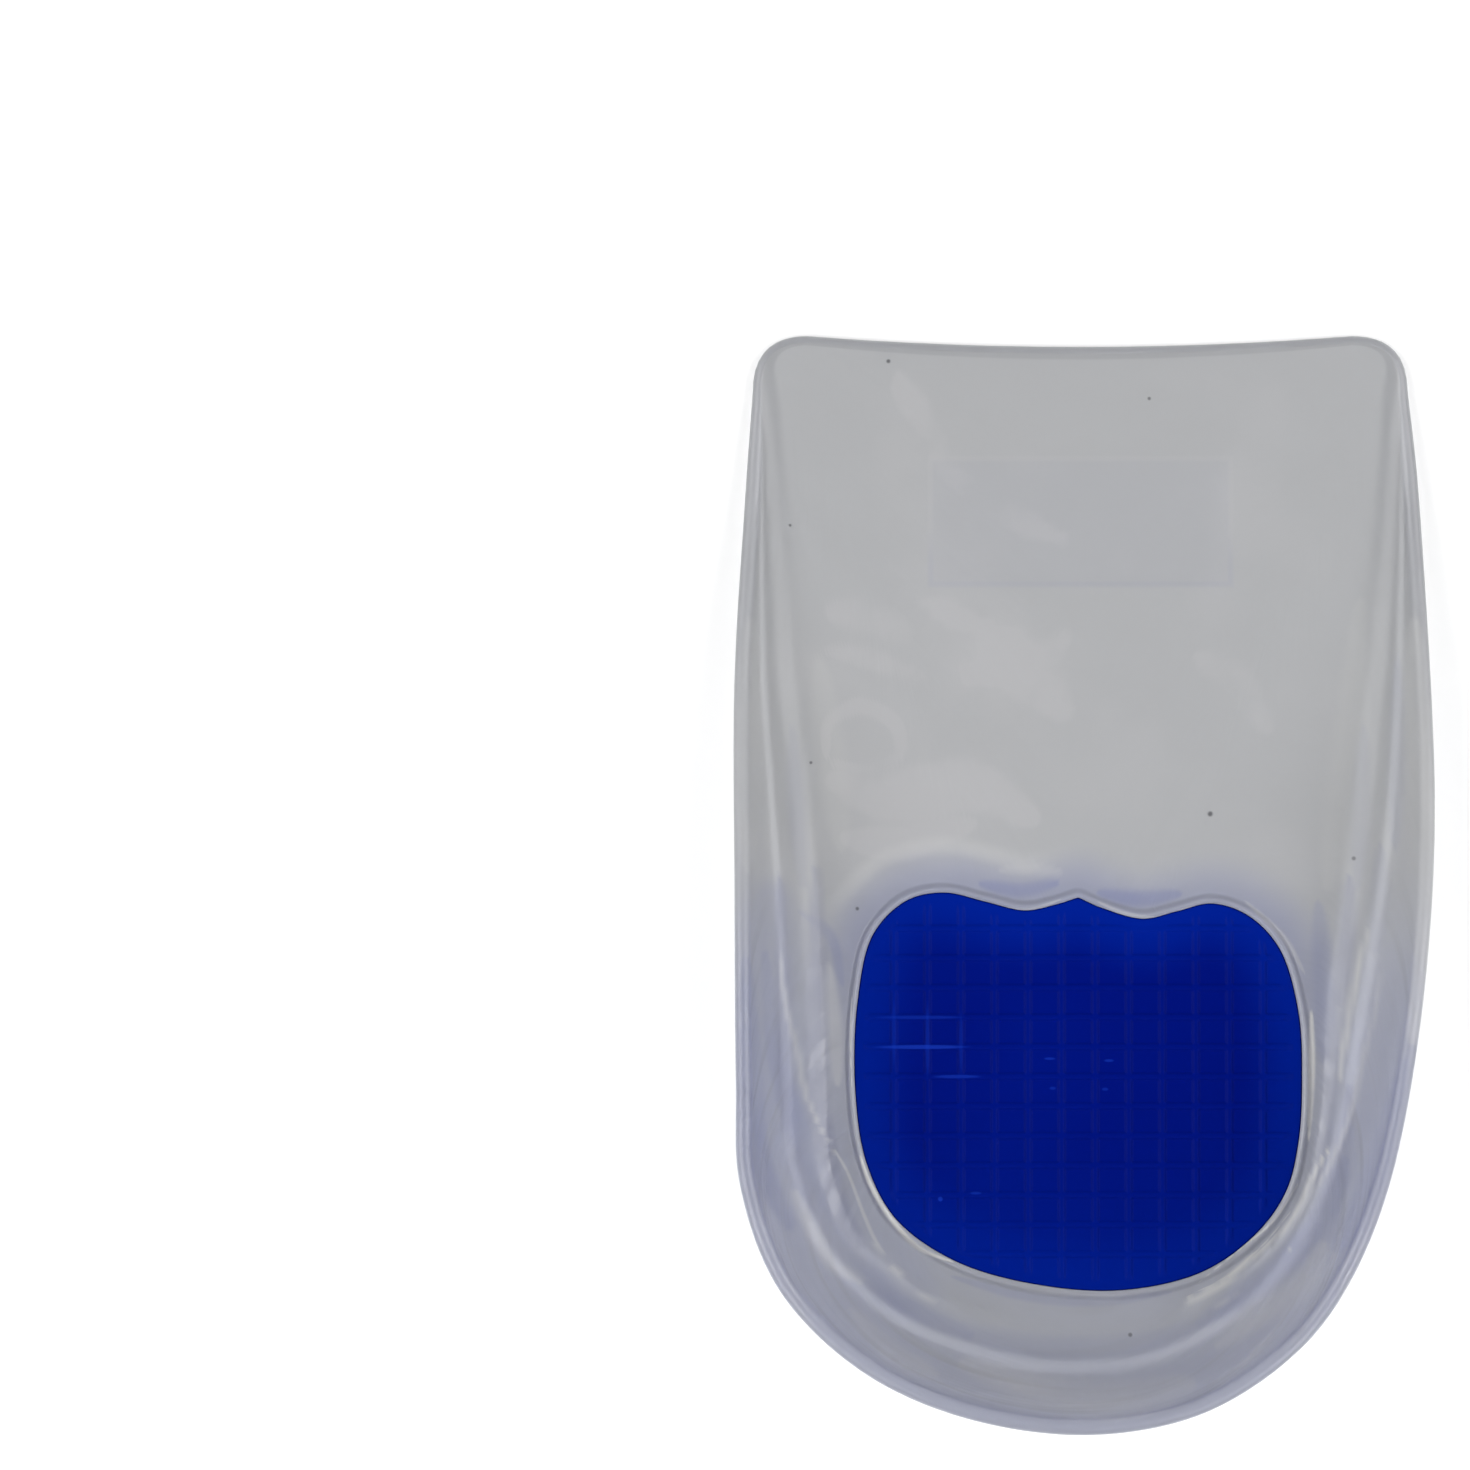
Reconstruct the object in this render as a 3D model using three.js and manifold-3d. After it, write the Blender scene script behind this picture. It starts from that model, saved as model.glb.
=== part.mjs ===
// Silicone gel heel cup: a clear moulded shell with a soft blue heel pad set into its floor.
// Millimetres, +Z up. The toe end points along +Y, and the sole lies on Z = 0 about the origin.
import * as THREE from "three";
import { mergeVertices } from "three/addons/utils/BufferGeometryUtils.js";
import Module from "manifold-3d";

const wasm = await Module();
wasm.setup();

// Overall sizes of the cup
const cupLength = 110;
const cupWidth = 70.6;
const frontWidth = 66.6; // across the front corners, where the sides meet them
const heelHeight = 25; // top of the rim at the back of the heel
const frontCornerReach = 5.6; // how far a rounded front corner reaches along each of its edges
const frontEdgeDip = 1.1; // how far the middle of the front edge lies behind its corners

// Walls and floor of the shell
const frontThickness = 1.4;
const heelFloorThickness = 5.2;
const rimThickness = 1.6;
const wallRun = 10; // from the rim in to the foot of the wall, at the heel
const soleInset = 4; // from the rim in to the edge of the sole, at the heel
const heelDish = 0.8; // how far the floor sinks under the middle of the heel
const heelDishRadius = 32;

// Heel pad and its pocket
const padWidth = 45.2;
const padLength = 40.2;
const padToHeel = 13.2; // from the back of the rim to the back of the pad
const padSideways = -0.3; // the pad's middle from the cup's middle
const gelUnderPad = 1.2;
const seatGap = 0.3; // clear space between the pad and its pocket
const beadWidth = 1.1; // raised lip of clear gel round the pocket
const beadHeight = 0.35;

// Waffle ribs on the pad's face
const ribPitchAcross = 3.4;
const ribPitchAlong = 3;
const ribWidth = 1;
const ribHeight = 0.25;

// Bare moulded panel sunk into the sole near the front edge
const panelWidth = 30.5;
const panelLength = 12.8;
const panelDepth = 0.35;
const panelFromFront = 12.5;

// How finely the curves are cut
const rimStations = 120;
const padStations = 96;
const wallSteps = 6;
const rimSteps = 4;
const floorRingShares = [0.76, 0.52, 0.28, 0.06]; // rings of the floor, as shares of the way in to its spine
const mergeDistance = 1e-4;

// Shape of the wall's section
const rimLeanDegrees = 80; // how far past its top the rim's round goes on down the inside
// Handles of the outer curve: foot and bulge are shares of the sole's inset, rise of the height
const outerWallHandles = { foot: 0.3, bulge: 0.05, rise: 0.3 };
// Handles of the inner curve: lean and foot are shares of the wall's reach, drop of its height
const innerWallHandles = { lean: 0.12, drop: 0.5, foot: 0.55 };

// Section of the lip's outer slope, as shares of its width and height
const beadSlope = [
  { out: 0.8, lift: 0.35 },
  { out: 0.45, lift: 1 },
];

// The rim seen from above, from the left side round the heel to the right side.
// across: share of half the cup's width; along: share of half its length, towards the toes.
const rimRun = [
  { across: -0.966, along: 0.7 },
  { across: -0.997, along: 0.36 },
  { across: -0.997, along: 0.0 },
  { across: -0.993, along: -0.36 },
  { across: -0.98, along: -0.555 },
  { across: -0.868, along: -0.742 },
  { across: -0.64, along: -0.885 },
  { across: -0.35, along: -0.969 },
  { across: -0.015, along: -1.0 },
  { across: 0.3, along: -0.966 },
  { across: 0.558, along: -0.866 },
  { across: 0.728, along: -0.732 },
  { across: 0.856, along: -0.533 },
  { across: 0.944, along: -0.255 },
  { across: 0.992, along: 0.042 },
  { across: 0.997, along: 0.32 },
  { across: 0.972, along: 0.7 },
];

// Sections from the front edge to the back of the heel.
// back: share of the cup's length; rise: share of the way from the front edge's height to the heel's;
// floor: the same for the floor's thickness; run and sole: shares of wallRun and soleInset.
const sections = [
  { back: 0.0, rise: 0.0, floor: 0.0, run: 0.1, sole: 0.15 },
  { back: 0.04, rise: 0.02, floor: 0.06, run: 0.26, sole: 0.2 },
  { back: 0.1, rise: 0.065, floor: 0.15, run: 0.38, sole: 0.28 },
  { back: 0.28, rise: 0.26, floor: 0.4, run: 0.68, sole: 0.5 },
  { back: 0.42, rise: 0.47, floor: 0.6, run: 0.86, sole: 0.66 },
  { back: 0.56, rise: 0.68, floor: 0.82, run: 0.96, sole: 0.8 },
  { back: 0.72, rise: 0.86, floor: 1.0, run: 1.0, sole: 0.92 },
  { back: 0.86, rise: 0.965, floor: 1.0, run: 1.0, sole: 1.0 },
  { back: 1.0, rise: 1.0, floor: 1.0, run: 1.0, sole: 1.0 },
];

// The pad's outline from the point between its two front scallops, clockwise seen from above.
// across and along: shares of half the pad's width and half its length.
const padRun = [
  { across: 0.0, along: 0.975 },
  { across: 0.1, along: 0.925 },
  { across: 0.29, along: 0.868 },
  { across: 0.44, along: 0.905 },
  { across: 0.6, along: 0.945 },
  { across: 0.76, along: 0.885 },
  { across: 0.9, along: 0.72 },
  { across: 0.985, along: 0.4 },
  { across: 1.0, along: 0.05 },
  { across: 0.985, along: -0.25 },
  { across: 0.93, along: -0.5 },
  { across: 0.8, along: -0.71 },
  { across: 0.56, along: -0.905 },
  { across: 0.2, along: -1.0 },
  { across: -0.2, along: -0.97 },
  { across: -0.56, along: -0.85 },
  { across: -0.82, along: -0.64 },
  { across: -0.95, along: -0.36 },
  { across: -1.0, along: 0.0 },
  { across: -0.99, along: 0.45 },
  { across: -0.92, along: 0.79 },
  { across: -0.77, along: 0.96 },
  { across: -0.6, along: 1.0 },
  { across: -0.42, along: 0.955 },
  { across: -0.24, along: 0.91 },
  { across: -0.1, along: 0.94 },
];

// Smooth value of one column of the sections table at a share of the cup's length, with no overshoot.
function sectionValue(column, back) {
  const last = sections.length - 1;
  const at = THREE.MathUtils.clamp(back, 0, 1);
  let i = 0;
  while (i < last - 1 && sections[i + 1].back < at) i += 1;
  const slope = (k) =>
    (sections[k + 1][column] - sections[k][column]) / (sections[k + 1].back - sections[k].back);
  const tangent = (k) => {
    if (k === 0) return slope(0);
    if (k === last) return 0;
    const before = slope(k - 1);
    const after = slope(k);
    return before * after <= 0 ? 0 : (2 * before * after) / (before + after);
  };
  const width = sections[i + 1].back - sections[i].back;
  const u = (at - sections[i].back) / width;
  return (
    sections[i][column] * (1 + 2 * u) * (1 - u) ** 2 +
    tangent(i) * width * u * (1 - u) ** 2 +
    sections[i + 1][column] * u ** 2 * (3 - 2 * u) -
    tangent(i + 1) * width * u ** 2 * (1 - u)
  );
}

const padMiddle = new THREE.Vector2(padSideways, -cupLength / 2 + padToHeel + padLength / 2);

// Height of the shell's inside floor.
function floorHeight(x, y) {
  const back = 0.5 - y / cupLength;
  const thickness = THREE.MathUtils.lerp(
    frontThickness,
    heelFloorThickness,
    sectionValue("floor", back),
  );
  const reach = Math.min(1, Math.hypot(x - padMiddle.x, y - padMiddle.y) / heelDishRadius);
  return thickness - heelDish * (1 - reach ** 2) ** 2;
}

// Inward unit normal at each point of a closed outline that runs anticlockwise.
function inwardNormals(outline) {
  return outline.map((_, i) => {
    const before = outline[(i + outline.length - 1) % outline.length];
    const after = outline[(i + 1) % outline.length];
    const along = after.clone().sub(before).normalize();
    return new THREE.Vector2(-along.y, along.x);
  });
}

// The outline moved out by a distance, along its normals.
function outlineGrownBy(outline, distance) {
  const normals = inwardNormals(outline);
  return outline.map((p, i) => p.clone().addScaledVector(normals[i], -distance));
}

// The cup's rim seen from above, anticlockwise, with the middle of its box at the origin.
function rimOutline() {
  const half = frontWidth / 2;
  const front = cupLength / 2;
  const cornerStart = front - frontCornerReach;
  const cornerEnd = half - frontCornerReach;
  const side = rimRun.map(
    ({ across, along }) =>
      new THREE.Vector2((across * cupWidth) / 2, (along * cupLength) / 2),
  );
  const path = new THREE.Path();
  path.moveTo(-half, cornerStart);
  path.splineThru([...side, new THREE.Vector2(half, cornerStart)]);
  path.quadraticCurveTo(half, front, cornerEnd, front);
  path.quadraticCurveTo(0, front - 2 * frontEdgeDip, -cornerEnd, front);
  path.quadraticCurveTo(-half, front, -half, cornerStart);
  const points = path.getSpacedPoints(rimStations).slice(0, rimStations);
  const middle = new THREE.Box2().setFromPoints(points).getCenter(new THREE.Vector2());
  return points.map((p) => p.sub(middle));
}

// The pad's outline, anticlockwise, about the pad's own middle.
function padOutline() {
  const run = [...padRun, padRun[0]].map(
    ({ across, along }) =>
      new THREE.Vector3((across * padWidth) / 2, (along * padLength) / 2, 0),
  );
  const curve = new THREE.CatmullRomCurve3(run, false, "centripetal");
  const points = curve.getSpacedPoints(padStations).slice(0, padStations);
  return points.reverse().map((p) => new THREE.Vector2(p.x, p.y).add(padMiddle));
}

// Points of a cubic Bezier in a section, without its first point.
function bezierPoints(p0, p1, p2, p3, steps) {
  const curve = new THREE.CubicBezierCurve(p0, p1, p2, p3);
  return curve.getPoints(steps).slice(1);
}

// The wall's section at one point of the rim, from the sole's edge over the rim to the floor's edge.
// Each point's x is its distance in from the rim, and its y is its height.
function wallSection(back, floorAt) {
  const height = THREE.MathUtils.lerp(frontThickness, heelHeight, sectionValue("rise", back));
  const run = wallRun * sectionValue("run", back);
  const sole = soleInset * sectionValue("sole", back);
  const floor = Math.min(floorAt(run), height);
  const roundness = Math.min(rimThickness / 2, frontThickness / 2);
  const standsProud = THREE.MathUtils.smoothstep(height - floor, 0, rimThickness);

  const outerTop = new THREE.Vector2(0, height - roundness);
  const outer = bezierPoints(
    new THREE.Vector2(sole, 0),
    new THREE.Vector2(outerWallHandles.foot * sole, 0),
    new THREE.Vector2(outerWallHandles.bulge * sole, outerWallHandles.rise * height),
    outerTop,
    wallSteps,
  );

  const rim = [];
  const lastAngle = THREE.MathUtils.degToRad(90 - rimLeanDegrees * standsProud);
  for (let k = 1; k <= rimSteps; k += 1) {
    const angle = THREE.MathUtils.lerp(Math.PI, lastAngle, k / rimSteps);
    const across = THREE.MathUtils.lerp(roundness, rimThickness / 2, standsProud);
    rim.push(
      new THREE.Vector2(
        across * (1 + Math.cos(angle)),
        height - roundness + roundness * Math.sin(angle),
      ),
    );
  }

  const innerTop = rim[rimSteps - 1];
  const drop = innerTop.y - floor;
  const reach = run - innerTop.x;
  const inner = bezierPoints(
    innerTop,
    new THREE.Vector2(
      innerTop.x + innerWallHandles.lean * reach,
      innerTop.y - innerWallHandles.drop * drop,
    ),
    new THREE.Vector2(run - innerWallHandles.foot * reach, floor),
    new THREE.Vector2(run, floor),
    wallSteps,
  );
  return [new THREE.Vector2(sole, 0), ...outer, ...rim, ...inner];
}

// A closed manifold-3d solid from points [x, y, z] and triangles that index them.
function solidFrom(points, triangles) {
  return new wasm.Manifold(
    new wasm.Mesh({
      numProp: 3,
      vertProperties: new Float32Array(points.flat()),
      triVerts: new Uint32Array(triangles.flat()),
    }),
  );
}

// A closed manifold-3d solid from a three.js geometry.
function solidFromGeometry(geometry) {
  const bare = geometry.clone();
  bare.deleteAttribute("normal");
  bare.deleteAttribute("uv");
  const merged = mergeVertices(bare, mergeDistance);
  return new wasm.Manifold(
    new wasm.Mesh({
      numProp: 3,
      vertProperties: merged.attributes.position.array,
      triVerts: new Uint32Array(merged.index.array),
    }),
  );
}

// An upright prism on a closed outline.
function prism(outline, low, high) {
  const geometry = new THREE.ExtrudeGeometry(new THREE.Shape(outline), {
    depth: high - low,
    bevelEnabled: false,
  });
  return solidFromGeometry(geometry.translate(0, 0, low));
}

// Triangles between two closed rings of equally many points, facing out where the rings run
// anticlockwise and the second lies further along the skin.
function bandTriangles(first, second, count) {
  const triangles = [];
  for (let i = 0; i < count; i += 1) {
    const next = (i + 1) % count;
    triangles.push([first + i, first + next, second + next]);
    triangles.push([first + i, second + next, second + i]);
  }
  return triangles;
}

// Triangles that close a narrow ring by joining its left side to its right, from the front edge to the
// heel. The ring runs anticlockwise from its front left corner.
function stitchAcross(ring, first) {
  const triangles = [];
  let left = 0;
  let right = ring.length - 1;
  while (right - left > 1) {
    const leftIsAhead = ring[left + 1][1] > ring[right - 1][1];
    const next = leftIsAhead ? left + 1 : right - 1;
    triangles.push([left, next, right].map((v) => v + first));
    if (leftIsAhead) left = next;
    else right = next;
  }
  return triangles;
}

// The cup's body with no pocket: rings of points from the sole's edge up the outside, over the rim,
// down the inside and across the floor towards a line along its middle.
function cupBody() {
  const rim = rimOutline();
  const normals = inwardNormals(rim);
  const rings = [];
  rim.forEach((p, i) => {
    const back = 0.5 - p.y / cupLength;
    const inward = (distance) => p.clone().addScaledVector(normals[i], distance);
    const floorAt = (distance) => floorHeight(...inward(distance).toArray());
    wallSection(back, floorAt).forEach((point, k) => {
      rings[k] ??= [];
      rings[k].push([...inward(point.x).toArray(), point.y]);
    });
  });

  const floorEdge = rings[rings.length - 1];
  const heelEnd = -cupLength / 2 + cupWidth / 2;
  const toeEnd = cupLength / 2 - frontWidth / 3;
  for (const share of floorRingShares) {
    rings.push(
      floorEdge.map(([x, y]) => {
        const spine = THREE.MathUtils.clamp(y, heelEnd, toeEnd);
        const at = [x * share, THREE.MathUtils.lerp(spine, y, share)];
        return [...at, floorHeight(...at)];
      }),
    );
  }

  const count = rim.length;
  const triangles = [];
  for (let k = 0; k + 1 < rings.length; k += 1) {
    triangles.push(...bandTriangles(k * count, (k + 1) * count, count));
  }
  const sole = rings[0].map(([x, y]) => new THREE.Vector2(x, y));
  const soleFaces = THREE.ShapeUtils.triangulateShape(sole, []);
  triangles.push(...soleFaces.map(([a, b, c]) => [a, c, b]));
  triangles.push(...stitchAcross(rings[rings.length - 1], (rings.length - 1) * count));
  return solidFrom(rings.flat(), triangles);
}

// The raised lip round the pocket, sunk into the floor that it stands on.
function pocketBead(outline) {
  const section = [
    { out: -seatGap, lift: -beadHeight },
    { out: beadWidth + seatGap, lift: -beadHeight },
    ...beadSlope.map(({ out, lift }) => ({
      out: out * beadWidth + seatGap,
      lift: lift * beadHeight,
    })),
    { out: -seatGap, lift: beadHeight },
  ];
  const rings = section.map(({ out, lift }) =>
    outlineGrownBy(outline, out).map(({ x, y }) => [x, y, floorHeight(x, y) + lift]),
  );
  const triangles = rings.flatMap((_, k) =>
    bandTriangles(k * outline.length, ((k + 1) % rings.length) * outline.length, outline.length),
  );
  return solidFrom(rings.flat(), triangles);
}

// The clear shell: body and bead, less the pad's pocket and the panel in the sole.
function gelShell() {
  const outline = padOutline();
  const pocket = prism(outlineGrownBy(outline, seatGap), gelUnderPad, 2 * heelHeight);
  const panel = new THREE.BoxGeometry(panelWidth, panelLength, 2 * panelDepth);
  panel.translate(0, cupLength / 2 - panelFromFront - panelLength / 2, 0);
  return cupBody()
    .add(pocketBead(outline))
    .subtract(pocket)
    .subtract(solidFromGeometry(panel));
}

// The grid lines of the ribs that cross a span: the two feet and the crest of each.
function ribLines(middle, span, pitch) {
  const count = Math.ceil(span / pitch / 2) + 1;
  const lines = [];
  for (let k = -count; k < count; k += 1) {
    const crest = middle + (k + 0.5) * pitch;
    lines.push({ at: crest - ribWidth / 2, lift: 0 });
    lines.push({ at: crest, lift: ribHeight });
    lines.push({ at: crest + ribWidth / 2, lift: 0 });
  }
  return lines;
}

// A block whose top follows the floor and carries the waffle ribs.
function waffleBlock(bottom) {
  const columns = ribLines(padMiddle.x, padWidth, ribPitchAcross);
  const rows = ribLines(padMiddle.y, padLength, ribPitchAlong);
  const top = rows.flatMap((row) =>
    columns.map((column) => [
      column.at,
      row.at,
      floorHeight(column.at, row.at) + Math.max(column.lift, row.lift),
    ]),
  );
  const base = top.map(([x, y]) => [x, y, bottom]);
  const wide = columns.length;
  const high = rows.length;
  const triangles = [];
  const quad = (a, b, c, d) => triangles.push([a, b, c], [a, c, d]);
  const at = (column, row) => row * wide + column;
  for (let j = 0; j + 1 < high; j += 1) {
    for (let i = 0; i + 1 < wide; i += 1) {
      const corners = [at(i, j), at(i + 1, j), at(i + 1, j + 1), at(i, j + 1)];
      quad(...corners);
      quad(...corners.map((v) => v + top.length).reverse());
    }
  }
  const edge = [];
  for (let i = 0; i + 1 < wide; i += 1) edge.push(at(i, 0));
  for (let j = 0; j + 1 < high; j += 1) edge.push(at(wide - 1, j));
  for (let i = wide - 1; i > 0; i -= 1) edge.push(at(i, high - 1));
  for (let j = high - 1; j > 0; j -= 1) edge.push(at(0, j));
  edge.forEach((a, k) => {
    const b = edge[(k + 1) % edge.length];
    quad(b, a, a + top.length, b + top.length);
  });
  return solidFrom([...top, ...base], triangles);
}

// The soft pad: its outline's prism under the ribbed face.
function heelPad() {
  const bottom = gelUnderPad + seatGap;
  return prism(padOutline(), bottom, 2 * heelFloorThickness).intersect(waffleBlock(bottom));
}

// A named mesh from a manifold-3d solid.
function meshOf(name, solid, material) {
  const { numProp, numVert, vertProperties, triVerts } = solid.getMesh();
  const positions = new Float32Array(numVert * 3);
  for (let i = 0; i < numVert; i += 1) {
    positions.set(vertProperties.subarray(i * numProp, i * numProp + 3), i * 3);
  }
  const geometry = new THREE.BufferGeometry();
  geometry.setAttribute("position", new THREE.BufferAttribute(positions, 3));
  geometry.setIndex(new THREE.BufferAttribute(triVerts, 1));
  geometry.computeVertexNormals();
  const mesh = new THREE.Mesh(geometry, material);
  mesh.name = name;
  return mesh;
}

const clearGel = new THREE.MeshStandardMaterial({
  color: 0xb0b2ba,
  roughness: 0.2,
  metalness: 0,
  transparent: true,
  opacity: 0.6,
});
const blueGel = new THREE.MeshStandardMaterial({ color: 0x001c86, roughness: 0.4, metalness: 0 });

const heelCup = new THREE.Group();
heelCup.add(meshOf("gel_shell", gelShell(), clearGel));
heelCup.add(meshOf("heel_pad", heelPad(), blueGel));

export default heelCup;
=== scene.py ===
import math

import bpy
import numpy as np
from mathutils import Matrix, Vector, geometry, noise


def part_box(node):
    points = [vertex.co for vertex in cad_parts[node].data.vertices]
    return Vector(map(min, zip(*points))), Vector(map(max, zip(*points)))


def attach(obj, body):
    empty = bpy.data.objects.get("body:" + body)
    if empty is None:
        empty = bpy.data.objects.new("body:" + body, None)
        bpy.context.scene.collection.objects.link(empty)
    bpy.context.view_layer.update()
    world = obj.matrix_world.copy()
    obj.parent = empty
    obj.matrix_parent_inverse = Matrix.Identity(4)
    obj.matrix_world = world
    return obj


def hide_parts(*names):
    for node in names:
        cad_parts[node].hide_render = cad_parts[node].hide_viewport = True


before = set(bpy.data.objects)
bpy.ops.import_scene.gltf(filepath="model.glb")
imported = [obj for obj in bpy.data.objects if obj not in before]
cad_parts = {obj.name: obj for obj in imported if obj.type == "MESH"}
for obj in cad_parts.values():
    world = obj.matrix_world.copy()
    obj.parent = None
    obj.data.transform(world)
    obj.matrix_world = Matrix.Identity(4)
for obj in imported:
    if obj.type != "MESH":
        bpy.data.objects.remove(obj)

bl_info = {
    "name": "Gel heel cup",
    "version": (1, 0, 0),
    "blender": (4, 5, 0),
    "location": "View3D > Sidebar > Heel Cup",
    "description": "Builds a clear silicone gel heel cup with a blue heel pad, and the stage it is shown on",
    "category": "Add Mesh",
}

MM = 0.001
SHELL_LOW, SHELL_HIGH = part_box("gel_shell")

# How finely the pieces are built: points round the shell, the pad and the panel, and rings of each stretch.
# A crowding above 1 draws the floor's rings towards the pad.
STATIONS = 560
PAD_STATIONS = 420
PANEL_STATIONS = 800
WALL_STEPS = 22
RIM_STEPS = 10
FLOOR_RINGS = 68
FLOOR_CROWDING = 1.5
BEAD_RINGS = 14
CORNER_STEPS = 12

# Rings down the pocket's wall, as shares of its depth, and in over its floor, as shares of its outline.
POCKET_WALL = (0.04, 0.2, 0.5, 0.9, 1.0)
POCKET_FLOOR = (0.98, 0.8, 0.5, 0.2)

# Rings of the sunk panel, as shares of its outline. Then those of its soft edge: how far out of the outline
# and how deep, in panel depths. Then those of the flat sole, as shares of the way out to its edge.
PANEL_FLOOR = (0.1, 0.5, 0.9)
PANEL_EDGE = [
    {"out": -0.4, "deep": 1.0},
    {"out": -0.15, "deep": 0.9},
    {"out": 0.0, "deep": 0.5},
    {"out": 0.15, "deep": 0.1},
    {"out": 0.4, "deep": 0.0},
]
SOLE_RUN = (0.15, 0.4, 0.7, 0.9, 0.985)

# Rings of the pad's rounded top edge, as shares of a quarter turn, and of its side, as shares of its height.
PAD_EDGE = (0.35, 0.65, 1.0)
PAD_SIDE = (0.5, 0.05)

# Grid lines over the pad: near each rib, in rib widths from its crest, and between two ribs, in pitches.
RIB_NEAR = (-0.62, -0.5, -0.4, -0.3, -0.2, 0, 0.2, 0.3, 0.4, 0.5, 0.62)
RIB_BETWEEN = (0.35, 0.5, 0.65)

# The rim seen from above, from the left side round the heel to the right side.
# across: share of half the cup's width; along: share of half its length, towards the toes.
RIM_RUN = [
    {"across": -0.966, "along": 0.7},
    {"across": -0.997, "along": 0.36},
    {"across": -0.997, "along": 0.0},
    {"across": -0.993, "along": -0.36},
    {"across": -0.98, "along": -0.555},
    {"across": -0.868, "along": -0.742},
    {"across": -0.64, "along": -0.885},
    {"across": -0.35, "along": -0.969},
    {"across": -0.015, "along": -1.0},
    {"across": 0.3, "along": -0.966},
    {"across": 0.558, "along": -0.866},
    {"across": 0.728, "along": -0.732},
    {"across": 0.856, "along": -0.533},
    {"across": 0.944, "along": -0.255},
    {"across": 0.992, "along": 0.042},
    {"across": 0.997, "along": 0.32},
    {"across": 0.972, "along": 0.7},
]

# Sections from the front edge to the back of the heel.
# back: share of the cup's length; rise: share of the way from the front edge's height to the heel's;
# floor: the same for the floor's thickness; run and sole: shares of the wall's run and the sole's inset.
SECTIONS = [
    {"back": 0.0, "rise": 0.0, "floor": 0.0, "run": 0.1, "sole": 0.15},
    {"back": 0.04, "rise": 0.02, "floor": 0.06, "run": 0.26, "sole": 0.2},
    {"back": 0.1, "rise": 0.065, "floor": 0.15, "run": 0.38, "sole": 0.28},
    {"back": 0.28, "rise": 0.26, "floor": 0.4, "run": 0.68, "sole": 0.5},
    {"back": 0.42, "rise": 0.47, "floor": 0.6, "run": 0.86, "sole": 0.66},
    {"back": 0.56, "rise": 0.68, "floor": 0.82, "run": 0.96, "sole": 0.8},
    {"back": 0.72, "rise": 0.86, "floor": 1.0, "run": 1.0, "sole": 0.92},
    {"back": 0.86, "rise": 0.965, "floor": 1.0, "run": 1.0, "sole": 1.0},
    {"back": 1.0, "rise": 1.0, "floor": 1.0, "run": 1.0, "sole": 1.0},
]

# The pad's outline from the point between its two front scallops, clockwise seen from above.
PAD_RUN = [
    {"across": 0.0, "along": 0.975},
    {"across": 0.1, "along": 0.925},
    {"across": 0.29, "along": 0.868},
    {"across": 0.44, "along": 0.905},
    {"across": 0.6, "along": 0.945},
    {"across": 0.76, "along": 0.885},
    {"across": 0.9, "along": 0.72},
    {"across": 0.985, "along": 0.4},
    {"across": 1.0, "along": 0.05},
    {"across": 0.985, "along": -0.25},
    {"across": 0.93, "along": -0.5},
    {"across": 0.8, "along": -0.71},
    {"across": 0.56, "along": -0.905},
    {"across": 0.2, "along": -1.0},
    {"across": -0.2, "along": -0.97},
    {"across": -0.56, "along": -0.85},
    {"across": -0.82, "along": -0.64},
    {"across": -0.95, "along": -0.36},
    {"across": -1.0, "along": 0.0},
    {"across": -0.99, "along": 0.45},
    {"across": -0.92, "along": 0.79},
    {"across": -0.77, "along": 0.96},
    {"across": -0.6, "along": 1.0},
    {"across": -0.42, "along": 0.955},
    {"across": -0.24, "along": 0.91},
    {"across": -0.1, "along": 0.94},
]

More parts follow.
